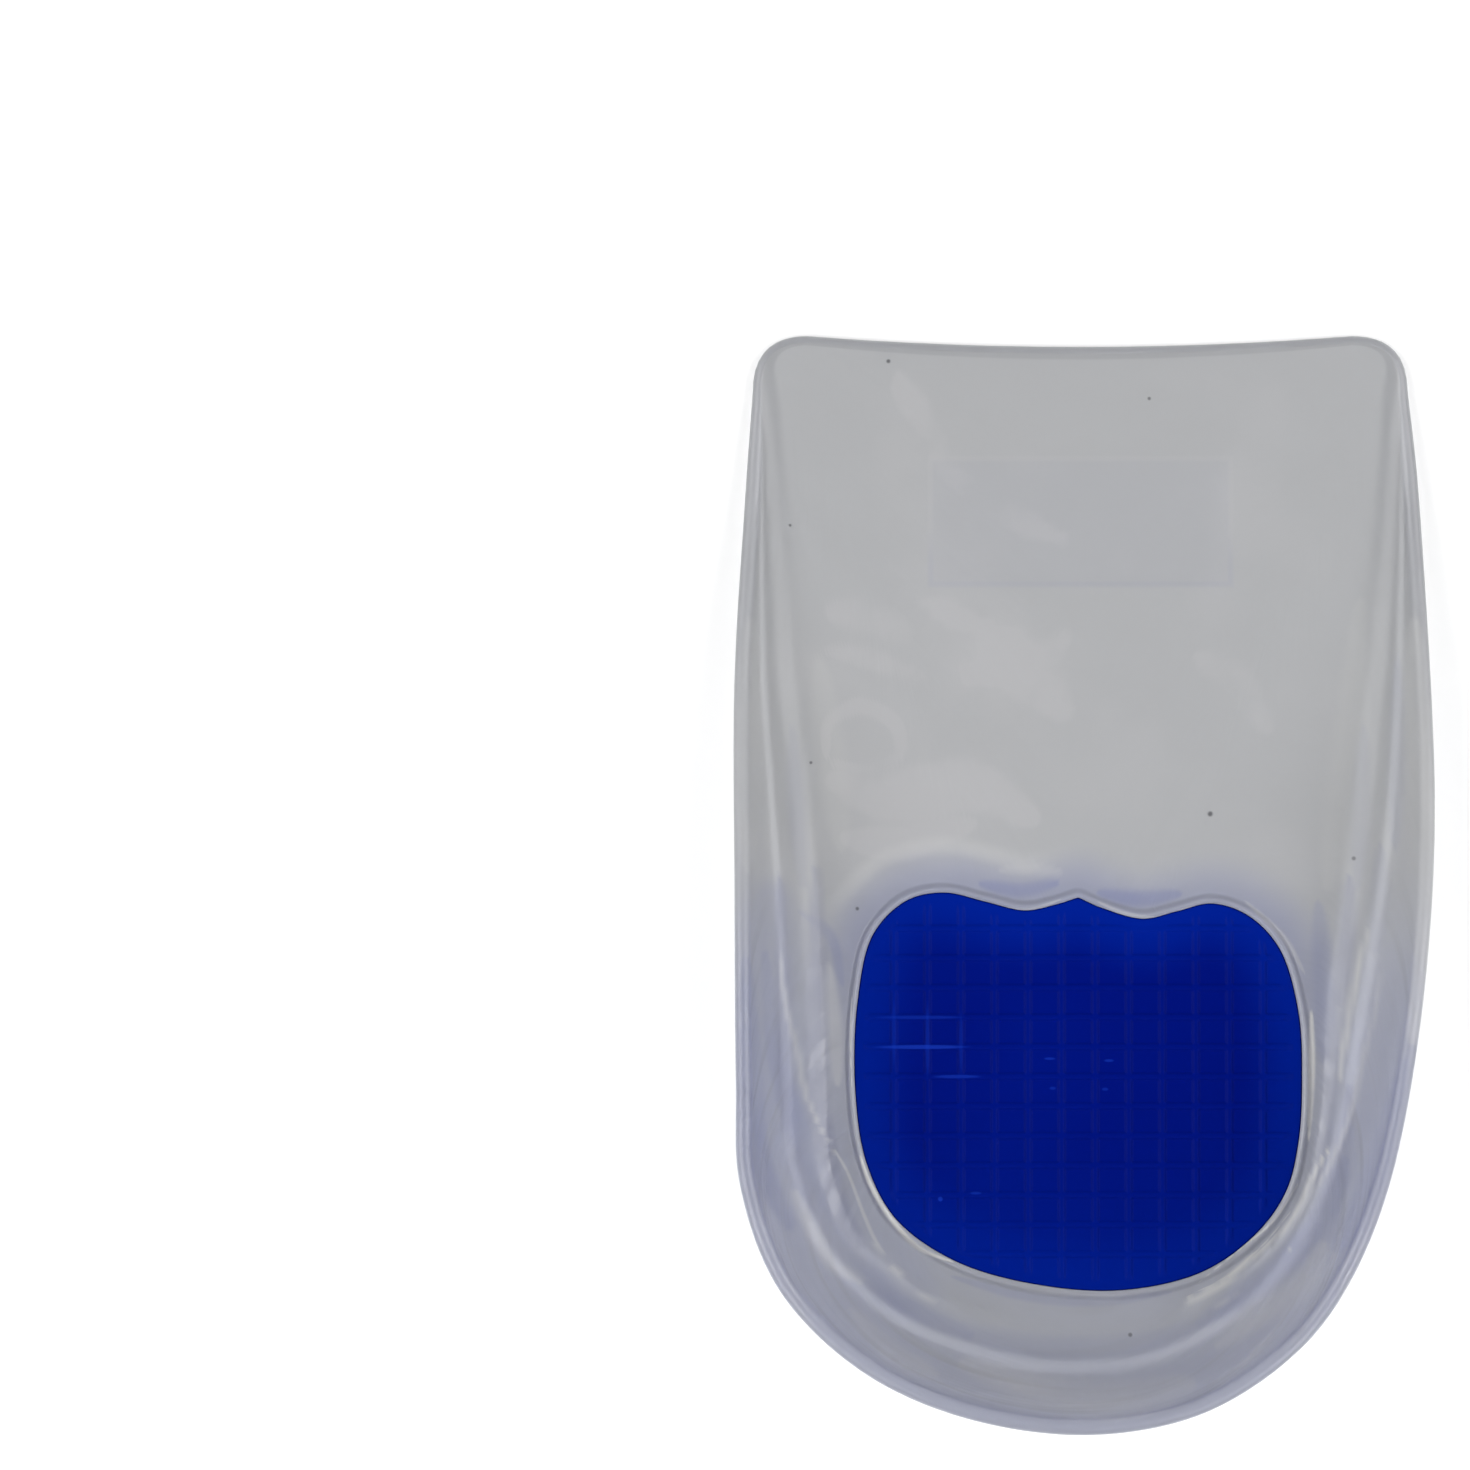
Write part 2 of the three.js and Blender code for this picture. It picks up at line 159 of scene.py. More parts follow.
# Marks in the gel, drawn in millimetres on the plan. half: half of the mark's width; share: its strength.
# Sheen: light streaks along the heel wall and glints on the lip round the pad.
SHEEN = [
    {"half": 0.5, "share": 0.38, "line": [
        (-30.7, -6.9), (-30, -12.7), (-28.8, -17.7), (-27.9, -22), (-26.2, -25.9)]},
    {"half": 0.3, "share": 0.5, "line": [
        (-26.2, -25.9), (-23.9, -29.5), (-22, -34.3), (-20.7, -37.1), (-17.8, -40.9), (-14.1, -43.6)]},
    {"half": 1.1, "share": 0.32, "line": [(-29.2, -31.5), (-27.7, -34.8), (-25.6, -38.5), (-22.2, -40.9)]},
    {"half": 1.2, "share": 0.36, "line": [(-25.6, -9), (-25, -15), (-24.7, -21)]},
    {"half": 2, "share": 0.12, "line": [(-33.5, 26), (-33.8, 12), (-33.8, 1)]},
    {"half": 2.4, "share": 0.11, "line": [(-26.6, 22), (-25.4, 12), (-24.3, 3)]},
    {"half": 2.4, "share": 0.12, "line": [(28.4, 28), (27.3, 16), (26, 6), (25, -1)]},
    {"half": 2.4, "share": 0.24, "line": [(33.6, 26), (34, 10), (34.3, 0), (34, -8), (32.4, -16)]},
    {"half": 0.4, "share": 1, "line": [
        (-22.4, -28.3), (-21.6, -30.7), (-19.9, -33.7), (-17.7, -36.5), (-16.1, -37.8), (-13.2, -38.9)]},
    {"half": 0.16, "share": 0.8, "line": [(-22, -28.3), (-20.6, -31.4), (-19, -33.7)]},
    {"half": 0.13, "share": 0.7, "line": [(-23.3, -12.3), (-23.4, -16.4), (-23.3, -21)]},
    {"half": 0.5, "share": 0.55, "line": [(28.8, -5.3), (27.6, -11.1), (26.6, -16.6), (25.9, -21)]},
    {"half": 0.4, "share": 0.3, "line": [
        (30.3, -8.1), (29.5, -13), (28.1, -18.9), (27, -24), (25, -29.1), (22.7, -32.9)]},
    {"half": 0.4, "share": 0.75, "line": [
        (25, -27.4), (23.3, -30.5), (22.1, -33.3), (19.9, -36.2), (16.6, -39.2)]},
    {"half": 0.6, "share": 0.8, "line": [(17.6, -38), (13.9, -41.4), (9.9, -43.8)]},
    {"half": 0.16, "share": 0.9, "line": [(21.8, -31.2), (19.5, -34.7), (16.7, -37.1), (12, -40.9)]},
    {"half": 0.16, "share": 0.7, "line": [(21.3, -33.7), (18.3, -37.3), (14.7, -40.4), (10.8, -42.4)]},
    {"half": 0.26, "share": 1, "line": [(17.3, -38.2), (16, -39.5), (14.5, -40.7)]},
    {"half": 0.18, "share": 0.4, "line": [(21, -37.6), (17.5, -41), (13.5, -43.6), (11.3, -44.9)]},
    {"half": 0.55, "share": 1, "line": [(23.3, -13.6), (23.3, -19.5), (23, -26.4)]},
    {"half": 1.3, "share": 0.34, "line": [(24.1, -36.6), (22.1, -40.3), (18.2, -43.8), (13.4, -47.1)]},
    {"half": 1.4, "share": 0.4, "line": [(-8.4, -50.3), (-3.9, -51.5), (1.1, -52), (4.5, -51.7)]},
    {"half": 2.2, "share": 0.3, "line": [(-12.3, -48.8), (-5.4, -51), (2.5, -51.9), (10.5, -50.3)]},
    {"half": 1.2, "share": 0.26, "line": [(-23.4, -43.4), (-19.5, -47.2), (-15, -49.5)]},
    {"half": 0.45, "share": 0.3, "line": [(16.7, -2.5), (20.5, -6.1), (22.6, -9.7)]},
    {"half": 0.35, "share": 0.35, "line": [(-12.2, -2.1), (-8.6, -3.1), (-5.1, -3.3), (-2.2, -2.3)]},
    {"half": 0.35, "share": 0.35, "line": [(1.7, -2.5), (4.4, -3.7), (8.1, -4.1), (11.1, -3)]},
    {"half": 0.9, "share": 0.2, "line": [(-8.2, 0.7), (-5.2, 0.8), (-2, 0.5)]},
]

# Painted blue shade: bands of the thick wall, and of the floor at the pad's front and back, painted darker
# and bluer for the pad's blue light and the shade there.
PAINTED_BLUE_SHADE = [
    {"half": 9, "share": 0.24, "line": [(-31.5, -2), (-31, -14), (-29, -25), (-24.5, -35), (-16, -43)]},
    {"half": 6, "share": 0.1, "line": [(30.5, -8), (28, -19), (24, -29)]},
    {"half": 2.4, "share": 0.5, "line": [
        (-32.1, -7.6), (-30.9, -18.1), (-29.1, -24), (-26.6, -30), (-23.6, -36.2), (-18.8, -42.5),
        (-11.2, -46.3)]},
    {"half": 1.8, "share": 0.28, "line": [
        (-14.4, -44.9), (-8.3, -46.8), (-0.2, -47.7), (6.8, -47), (12.9, -44.7)]},
    {"half": 1.9, "share": 0.42, "line": [
        (26.4, -28.2), (24.8, -33.1), (21.5, -37.7), (16.6, -41.8), (11.6, -45.3)]},
    {"half": 1.8, "share": 0.4, "line": [(24, -2.8), (24.6, -11), (24.5, -18.5)]},
    {"half": 2.2, "share": 0.6, "line": [(-34, -8), (-33.6, -18), (-32.8, -27.5), (-29.5, -35)]},
    {"half": 1.6, "share": 0.35, "line": [(31.6, -17.9), (30.1, -24.9), (27.8, -31.9), (24.9, -37)]},
    {"half": 0.8, "share": 0.3, "line": [(-13, -40.5), (-6, -42.4), (2, -43), (9, -42)]},
    {"half": 1.1, "share": 0.6, "line": [(-10.2, -0.7), (-6.2, -1.3), (-2.4, -0.6)]},
    {"half": 1.2, "share": 0.6, "line": [(1.8, -1.6), (5.8, -2.2), (10, -1.7)]},
    {"half": 0.9, "share": 0.35, "line": [(-28.6, -3.5), (-25.5, -5.9), (-24.2, -10.9)]},
]

# Shade: quiet bands along the foot and the middle of the side walls.
SHADE = [
    {"half": 1.6, "share": 0.62, "line": [(-26.9, 1), (-26.9, -8), (-26.9, -16), (-26.8, -24), (-26.4, -28)]},
    {"half": 1.5, "share": 0.8, "line": [(-27, -17), (-25.3, -30), (-24.3, -34), (-22.4, -37.5)]},
    {"half": 1.2, "share": 0.6, "line": [(-30.6, 0), (-30.4, -10), (-30.2, -20), (-29.6, -27)]},
    {"half": 1.3, "share": 0.5, "line": [(-29.6, -26), (-28.7, -30.6), (-27.6, -34.5)]},
    {"half": 1.4, "share": 0.3, "line": [(-29.3, 15), (-28.8, 6), (-28.2, -1)]},
    {"half": 1.4, "share": 0.6, "line": [(27.2, 0), (26.8, -6), (26, -13)]},
    {"half": 1.2, "share": 0.45, "line": [(25.7, -11), (25.1, -20), (24.5, -27), (23.2, -32)]},
    {"half": 1.1, "share": 0.45, "line": [(27, -21), (26.4, -26.5), (24.9, -31), (23.2, -34.5)]},
    {"half": 1.3, "share": 0.3, "line": [(30.2, 3), (30, -2.5), (29.5, -7.5)]},
    {"half": 1.2, "share": 0.4, "line": [(-34, -20), (-33.4, -28), (-32.2, -34)]},
    {"half": 1.2, "share": 0.4, "line": [(33.6, -13), (33.1, -20), (31.8, -27)]},
    {"half": 1.2, "share": 0.26, "line": [(32, 22), (31.8, 11), (31.5, 3)]},
    {"half": 1.4, "share": 0.28, "line": [(28.7, 15), (28.3, 6), (27.9, -1)]},
]

# Painted reflections: soft lighter patches of the floor, where its gloss mirrors the lights.
PAINTED_REFLECTIONS = [
    {"half": 15, "share": 0.36, "line": [(-17, 30), (-12, 20), (-15, 8)]},
    {"half": 2.6, "share": 0.9, "line": [(-18.6, 50.4), (-16.5, 47), (-14, 43.6)]},
    {"half": 2.6, "share": 0.9, "line": [(-15, 43), (-11.5, 39.6), (-7.2, 36.8), (-1.4, 34.2)]},
    {"half": 4.6, "share": 1.0, "line": [(-9.4, 24.2), (-5.6, 21), (-1.6, 17)]},
    {"half": 2.8, "share": 1.0, "line": [(-11.8, 20.6), (-5.4, 21.4), (-1.4, 24.4)]},
    {"half": 1.8, "share": 0.9, "line": [(-26, 23), (-21, 22), (-15.5, 19.8)]},
    {"half": 1.3, "share": 0.85, "line": [
        (-25.9, 12.4), (-25.6, 15.6), (-22.4, 17.4), (-18.9, 15.6), (-18.4, 12.6), (-21.4, 10.9),
        (-25.2, 11.6)]},
    {"half": 4.6, "share": 1.0, "line": [(-25, 9.6), (-19, 8.2), (-12, 9.4), (-5, 6)]},
    {"half": 3.0, "share": 0.8, "line": [(-24, 4), (-18, 3.6), (-11, 5.4)]},
    {"half": 2.0, "share": 0.8, "line": [(-16.2, 28.2), (-12.6, 26.4), (-8.8, 25)]},
    {"half": 3.2, "share": 0.7, "line": [(-25.5, 27), (-21, 26.4), (-17.5, 24.4)]},
    {"half": 3.0, "share": 0.6, "line": [(12, 22.5), (16, 19.5), (19, 15)]},
]

# Dust specks in the gel, in millimetres on the plan.
SPECKS = [
    {"x": 13.1, "y": 6.4, "radius": 0.38},
    {"x": -19.5, "y": 52.4, "radius": 0.3},
    {"x": 7.0, "y": 48.6, "radius": 0.25},
    {"x": -27.4, "y": 11.6, "radius": 0.22},
    {"x": -29.5, "y": 35.7, "radius": 0.2},
    {"x": 4.9, "y": -46.3, "radius": 0.3},
    {"x": 27.6, "y": 1.9, "radius": 0.3},
    {"x": -22.7, "y": -3.2, "radius": 0.26},
]

# Glints on the pad's ribs, in millimetres on the plan: half of the size across and along, and the strength.
PAD_GLINTS = [
    {"x": -16.4, "y": -14.2, "half_x": 5.2, "half_y": 0.22, "share": 0.35},
    {"x": -16.2, "y": -17.2, "half_x": 5.4, "half_y": 0.26, "share": 0.7},
    {"x": -12.6, "y": -20.2, "half_x": 2.8, "half_y": 0.22, "share": 0.5},
    {"x": -19.0, "y": -15.8, "half_x": 0.24, "half_y": 4.0, "share": 0.2},
    {"x": -15.6, "y": -16.6, "half_x": 0.24, "half_y": 4.4, "share": 0.25},
    {"x": -12.2, "y": -16.8, "half_x": 0.22, "half_y": 3.6, "share": 0.2},
    {"x": -3.2, "y": -18.4, "half_x": 0.7, "half_y": 0.16, "share": 0.5},
    {"x": 2.8, "y": -18.6, "half_x": 0.6, "half_y": 0.18, "share": 0.5},
    {"x": -2.9, "y": -21.4, "half_x": 0.4, "half_y": 0.2, "share": 0.4},
    {"x": 2.4, "y": -21.5, "half_x": 0.4, "half_y": 0.2, "share": 0.4},
    {"x": -14.3, "y": -32.6, "half_x": 0.3, "half_y": 0.3, "share": 0.8},
    {"x": -10.7, "y": -32.0, "half_x": 0.7, "half_y": 0.18, "share": 0.5},
]

# Stretches along the cup, as y: where each look begins and where it is full.
HEEL_RUN = (6 * MM, -26 * MM)
FRONT_RUN = (-26 * MM, -4 * MM)
SIDE_RUN = (-4 * MM, 44 * MM)
LOW_WALL_RUN = (40 * MM, 20 * MM)
LOWER_PAD_RUN = (-24 * MM, -42 * MM)

# Lamps round the cup. azimuth: from +X towards +Y; share: of the light power.
LAMPS = [
    {"name": "lamp_right", "azimuth": 14, "elevation": 46, "share": 1.0},
    {"name": "lamp_left", "azimuth": 166, "elevation": 46, "share": 1.0},
    {"name": "lamp_back_left", "azimuth": -145, "elevation": 50, "share": 0.8},
    {"name": "lamp_back_right", "azimuth": -40, "elevation": 50, "share": 0.8},
]

# Greys of the surroundings from the horizon to overhead, each with the height at which it is reached.
SKY_STOPS = [(0.35, (0.5, 0.5, 0.5)), (0.92, (0.02, 0.02, 0.02))]

FLOOR_REACH = 3.0

# The wall's foot: the room that it leaves to the lip round the pad, and how softly it turns aside there.
LIP_CLEARANCE = 0.3 * MM
FOOT_SOFTNESS = 0.4 * MM

# The lip's profile follows a cosine wave this far round, so it ends above the floor at the pocket's edge.
LIP_TURN = 1.6 * math.pi

# Distances from the pad over which the gel's unevenness sets in, and from its edge over which its ribs do.
RIPPLE_FADE = (0.6 * MM, 5 * MM)
RELIEF_FADE = (0.7 * MM, 1.6 * MM)

# The grid over the pad keeps clear of its edge by this much, and the pad's foot is cut back by it.
PAD_MARGIN = 0.15 * MM


def paint(red, green, blue):
    """A colour given as 8-bit display values, as the linear colour that a shader takes."""
    def linear(value):
        share = value / 255
        return share / 12.92 if share <= 0.04045 else ((share + 0.055) / 1.055) ** 2.4
    return (linear(red), linear(green), linear(blue))


def length_prop(name, description, default):
    return bpy.props.FloatProperty(
        name=name, description=description, default=default, min=0, unit="LENGTH", precision=5)


def place_prop(name, description, default):
    return bpy.props.FloatProperty(
        name=name, description=description, default=default, unit="LENGTH", precision=5)


def colour_prop(name, description, default):
    return bpy.props.FloatVectorProperty(
        name=name, description=description, default=default, subtype="COLOR", size=3, min=0, max=1)


class HeelCupShellSizes(bpy.types.PropertyGroup):
    """Sizes of the clear gel shell."""
    length: length_prop("Length", "From the front edge to the back of the heel", SHELL_HIGH.y - SHELL_LOW.y)
    width: length_prop("Width", "Across the widest part", SHELL_HIGH.x - SHELL_LOW.x)
    heel_height: length_prop("Heel height", "Top of the rim at the heel", SHELL_HIGH.z - SHELL_LOW.z)
    front_width: length_prop("Front width", "Across the front corners", 66.6 * MM)
    corner_reach: length_prop("Corner reach", "How far a rounded front corner reaches", 5.6 * MM)
    edge_dip: length_prop("Front edge dip", "How far the front edge curves in", 1.1 * MM)
    front_thickness: length_prop("Front thickness", "Floor thickness at the front edge", 1.4 * MM)
    floor_thickness: length_prop("Heel floor thickness", "Floor thickness at the heel", 5.2 * MM)
    rim_thickness: length_prop("Rim thickness", "Thickness of the wall at the rim", 1.6 * MM)
    wall_run: length_prop("Wall run", "From the rim in to the foot of the wall", 10 * MM)
    sole_inset: length_prop("Sole inset", "From the rim in to the edge of the sole", 4 * MM)
    dish: length_prop("Heel dish", "How far the floor sinks under the heel", 0.8 * MM)
    dish_radius: length_prop("Heel dish radius", "Reach of the sunk part of the floor", 32 * MM)
    ripple: length_prop("Ripple", "Height of the soft unevenness of the moulded gel", 0.12 * MM)


class HeelCupPadSizes(bpy.types.PropertyGroup):
    """Sizes of the blue pad, its pocket and its relief."""
    width: length_prop("Width", "Across the pad", 45.2 * MM)
    length: length_prop("Length", "From the pad's front to its back", 40.2 * MM)
    to_heel: length_prop("To the heel", "From the back of the cup to the back of the pad", 13.2 * MM)
    sideways: place_prop("Sideways", "The pad's middle from the cup's middle", -0.3 * MM)
    gel_under: length_prop("Gel under the pad", "Clear gel left under the pocket", 1.2 * MM)
    seat_gap: length_prop("Seat gap", "Clear space under the pad", 0.3 * MM)
    side_gap: length_prop("Side gap", "Hairline round the pad, which is bonded in", 0.03 * MM)
    bead_width: length_prop("Lip width", "Width of the raised lip round the pocket", 1.1 * MM)
    bead_height: length_prop("Lip height", "Height of the raised lip", 0.35 * MM)
    rib_pitch_across: length_prop("Rib pitch across", "Distance between ribs from side to side", 3.4 * MM)
    rib_pitch_along: length_prop("Rib pitch along", "Distance between ribs from front to back", 3 * MM)
    rib_width: length_prop("Rib width", "Width of a rib at its foot", 0.9 * MM)
    rib_height: length_prop("Rib height", "Height of a rib", 0.16 * MM)
    edge_radius: length_prop("Edge radius", "Rounding of the pad's top edge", 0.15 * MM)


class HeelCupPanelSizes(bpy.types.PropertyGroup):
    """Sizes of the bare panel sunk into the sole."""
    width: length_prop("Width", "Across the panel", 30.5 * MM)
    length: length_prop("Length", "From the panel's front to its back", 12.8 * MM)
    depth: length_prop("Depth", "How deep the panel is sunk", 0.35 * MM)
    from_front: length_prop("From the front", "From the front edge to the panel", 12.5 * MM)
    corner: length_prop("Corner radius", "Radius of the panel's corners", 0.8 * MM)


class HeelCupColours(bpy.types.PropertyGroup):
    """Colours of the gel, the pad and the floor."""
    gel: colour_prop("Gel", "Clear silicone gel over a pale ground", paint(199, 200, 202))
    # painted reflections and highlight: besides milky clouds, this colour paints the reflection patches and
    # the panel's light upper edge
    milky_cloud_and_highlight: colour_prop("Gel cloud", "Slightly milkier patches in the gel", paint(207, 207, 209))
    # painted light: the heel wall painted lighter and bluer than the rest of the gel
    heel_wall_light: colour_prop("Gel wall", "Gel of the thick heel wall", paint(208, 211, 224))
    glow: colour_prop("Glow", "Gel that takes up blue light from the pad", paint(160, 166, 202))
    # painted blue shade: darker, bluer bands where the pad's light and shade fall; also the panel's faint
    # tint and its shaded lower edge
    deep: colour_prop("Deep", "Gel where it is thickest and takes up the most blue", paint(140, 148, 194))
    # painted shade along the rim and in the wall's quiet bands
    rim: colour_prop("Rim", "Gel along the rim and in the wall's quiet bands", paint(160, 163, 184))
    # painted shade: the low side walls painted darker
    side: colour_prop("Side", "Gel of the low side walls", paint(178, 179, 182))
    sheen: colour_prop("Sheen", "Light streaks and glints in the gel", paint(250, 249, 244))
    speck: colour_prop("Speck", "Dust caught in the gel", paint(90, 90, 96))
    pad: colour_prop("Pad", "Blue silicone of the pad", paint(0, 12, 99))
    # this lighter blue also paints a faint highlight on the pad's ribs
    pad_edge: colour_prop("Pad edge", "Blue silicone near the pad's edge", paint(0, 24, 120))
    pad_glint: colour_prop("Pad glint", "Light caught on the pad's ribs", paint(26, 60, 176))
    ground: colour_prop("Floor", "The pale floor", (0.93, 0.93, 0.93))


def section_value(column, back):
    """Smooth value of one column of SECTIONS at shares of the cup's length, with no overshoot."""
    at = np.array([row["back"] for row in SECTIONS])
    value = np.array([row[column] for row in SECTIONS])
    slope = np.diff(value) / np.diff(at)
    tangent = np.zeros(len(at))
    tangent[0] = slope[0]
    product = slope[:-1] * slope[1:]
    total = slope[:-1] + slope[1:]
    tangent[1:-1] = np.where(product > 0, 2 * product / np.where(total == 0, 1, total), 0)
    back = np.clip(back, 0, 1)
    i = np.clip(np.searchsorted(at, back, side="left") - 1, 0, len(at) - 2)
    width = at[i + 1] - at[i]
    u = (back - at[i]) / width
    return (value[i] * (1 + 2 * u) * (1 - u) ** 2 + tangent[i] * width * u * (1 - u) ** 2
            + value[i + 1] * u ** 2 * (3 - 2 * u) - tangent[i + 1] * width * u ** 2 * (1 - u))


def at_height(plan, height):
    """Points in plan, all at one height or each at its own."""
    return np.column_stack([plan, np.broadcast_to(height, len(plan))])


def smoothstep(value, low, high):
    """0 below low, 1 above high and smooth between them; low may be the larger."""
    share = np.clip((value - low) / (high - low), 0, 1)
    return share * share * (3 - 2 * share)


def spline(points, power, steps=24):
    """Dense points of a Catmull-Rom curve through the points. A power of 0 spaces its knots evenly,
    and 0.5 by the root of the distance, which keeps tight bends from looping."""
    points = np.array(points, float)
    ends = [2 * points[0] - points[1], *points, 2 * points[-1] - points[-2]]
    dense = []
    for k in range(1, len(ends) - 2):
        p0, p1, p2, p3 = ends[k - 1:k + 3]
        d0, d1, d2 = (np.linalg.norm(b - a) ** power for a, b in ((p0, p1), (p1, p2), (p2, p3)))
        m1 = ((p1 - p0) / d0 - (p2 - p0) / (d0 + d1) + (p2 - p1) / d1) * d1
        m2 = ((p2 - p1) / d1 - (p3 - p1) / (d1 + d2) + (p3 - p2) / d2) * d1
        u = np.linspace(0, 1, steps, endpoint=False)[:, None]
        dense.append(p1 * (1 + 2 * u) * (1 - u) ** 2 + m1 * u * (1 - u) ** 2
                     + p2 * u ** 2 * (3 - 2 * u) - m2 * u ** 2 * (1 - u))
    return np.vstack([*dense, points[-1:]])


def bow(start, control, end, steps=24):
    """Dense points of a quadratic curve, without its last point."""
    u = np.linspace(0, 1, steps, endpoint=False)[:, None]
    return (1 - u) ** 2 * np.array(start) + 2 * u * (1 - u) * np.array(control) + u ** 2 * np.array(end)


def bezier(p0, p1, p2, p3, steps):
    """Cubic curves between arrays of points, one row for each step, without the first."""
    return [p0 * (1 - u) ** 3 + 3 * p1 * u * (1 - u) ** 2 + 3 * p2 * u * u * (1 - u) + p3 * u ** 3
            for u in np.linspace(0, 1, steps + 1)[1:]]


def outline_lengths(outline):
    """Distance along a closed outline up to each point, and once round."""
    steps = np.linalg.norm(np.roll(outline, -1, axis=0) - outline, axis=1)
    return np.concatenate([[0], np.cumsum(steps)])


def resample(outline, where, lengths):
    """Points of a closed outline at the given places on the scale of lengths."""
    closed = np.vstack([outline, outline[:1]])
    return np.stack([np.interp(where, lengths, closed[:, axis]) for axis in (0, 1)], axis=1)


def inward_normals(outline):
    """Inward unit normals of a closed outline that runs anticlockwise."""
    along = np.roll(outline, -1, axis=0) - np.roll(outline, 1, axis=0)
    along /= np.linalg.norm(along, axis=1)[:, None]
    return np.stack([-along[:, 1], along[:, 0]], axis=1)


def angles_about(points, middle):
    return np.arctan2(points[:, 1] - middle[1], points[:, 0] - middle[0])


def at_angles(outline, middle, angles):
    """Points where rays from the middle at the given angles meet a star-shaped outline."""
    own = angles_about(outline, middle)
    order = np.argsort(own)
    return np.stack([np.interp(angles, own[order], outline[order, axis], period=2 * math.pi)
                     for axis in (0, 1)], axis=1)


def outline_distance(points, outline):
    """Distance in plan from each point to the nearest point of a dense outline, worked out in parts
    that fit in memory."""
    best = np.full(len(points), np.inf)
    part_size = 4000
    for part in np.array_split(np.arange(len(points)), max(1, len(points) // part_size)):
        gap = points[part, None, :2] - outline[None, :, :]
        best[part] = np.sqrt((gap ** 2).sum(axis=2).min(axis=1))
    return best


def mark_field(plan, marks):
    """Strength of a set of marks at points in plan: full along each line, which narrows towards its ends,
    and nothing beyond its width. Where marks cross, the stronger one counts."""
    field = np.zeros(len(plan))
    for mark in marks:
        line = spline(np.array(mark["line"]) * MM, 0.5)
        along = np.linspace(0, 1, len(line))
        width = mark["half"] * MM * (0.3 + 0.7 * np.sin(math.pi * along) ** 0.6)
        low, high = line.min(axis=0) - mark["half"] * MM, line.max(axis=0) + mark["half"] * MM
        near = np.where(((plan >= low) & (plan <= high)).all(axis=1))[0]
        if len(near) == 0:
            continue
        gap = np.linalg.norm(plan[near, None] - line[None], axis=2)
        share = smoothstep(gap / width[None], 1.0, 0.25).max(axis=1) * mark["share"]
        field[near] = np.maximum(field[near], share)
    return field


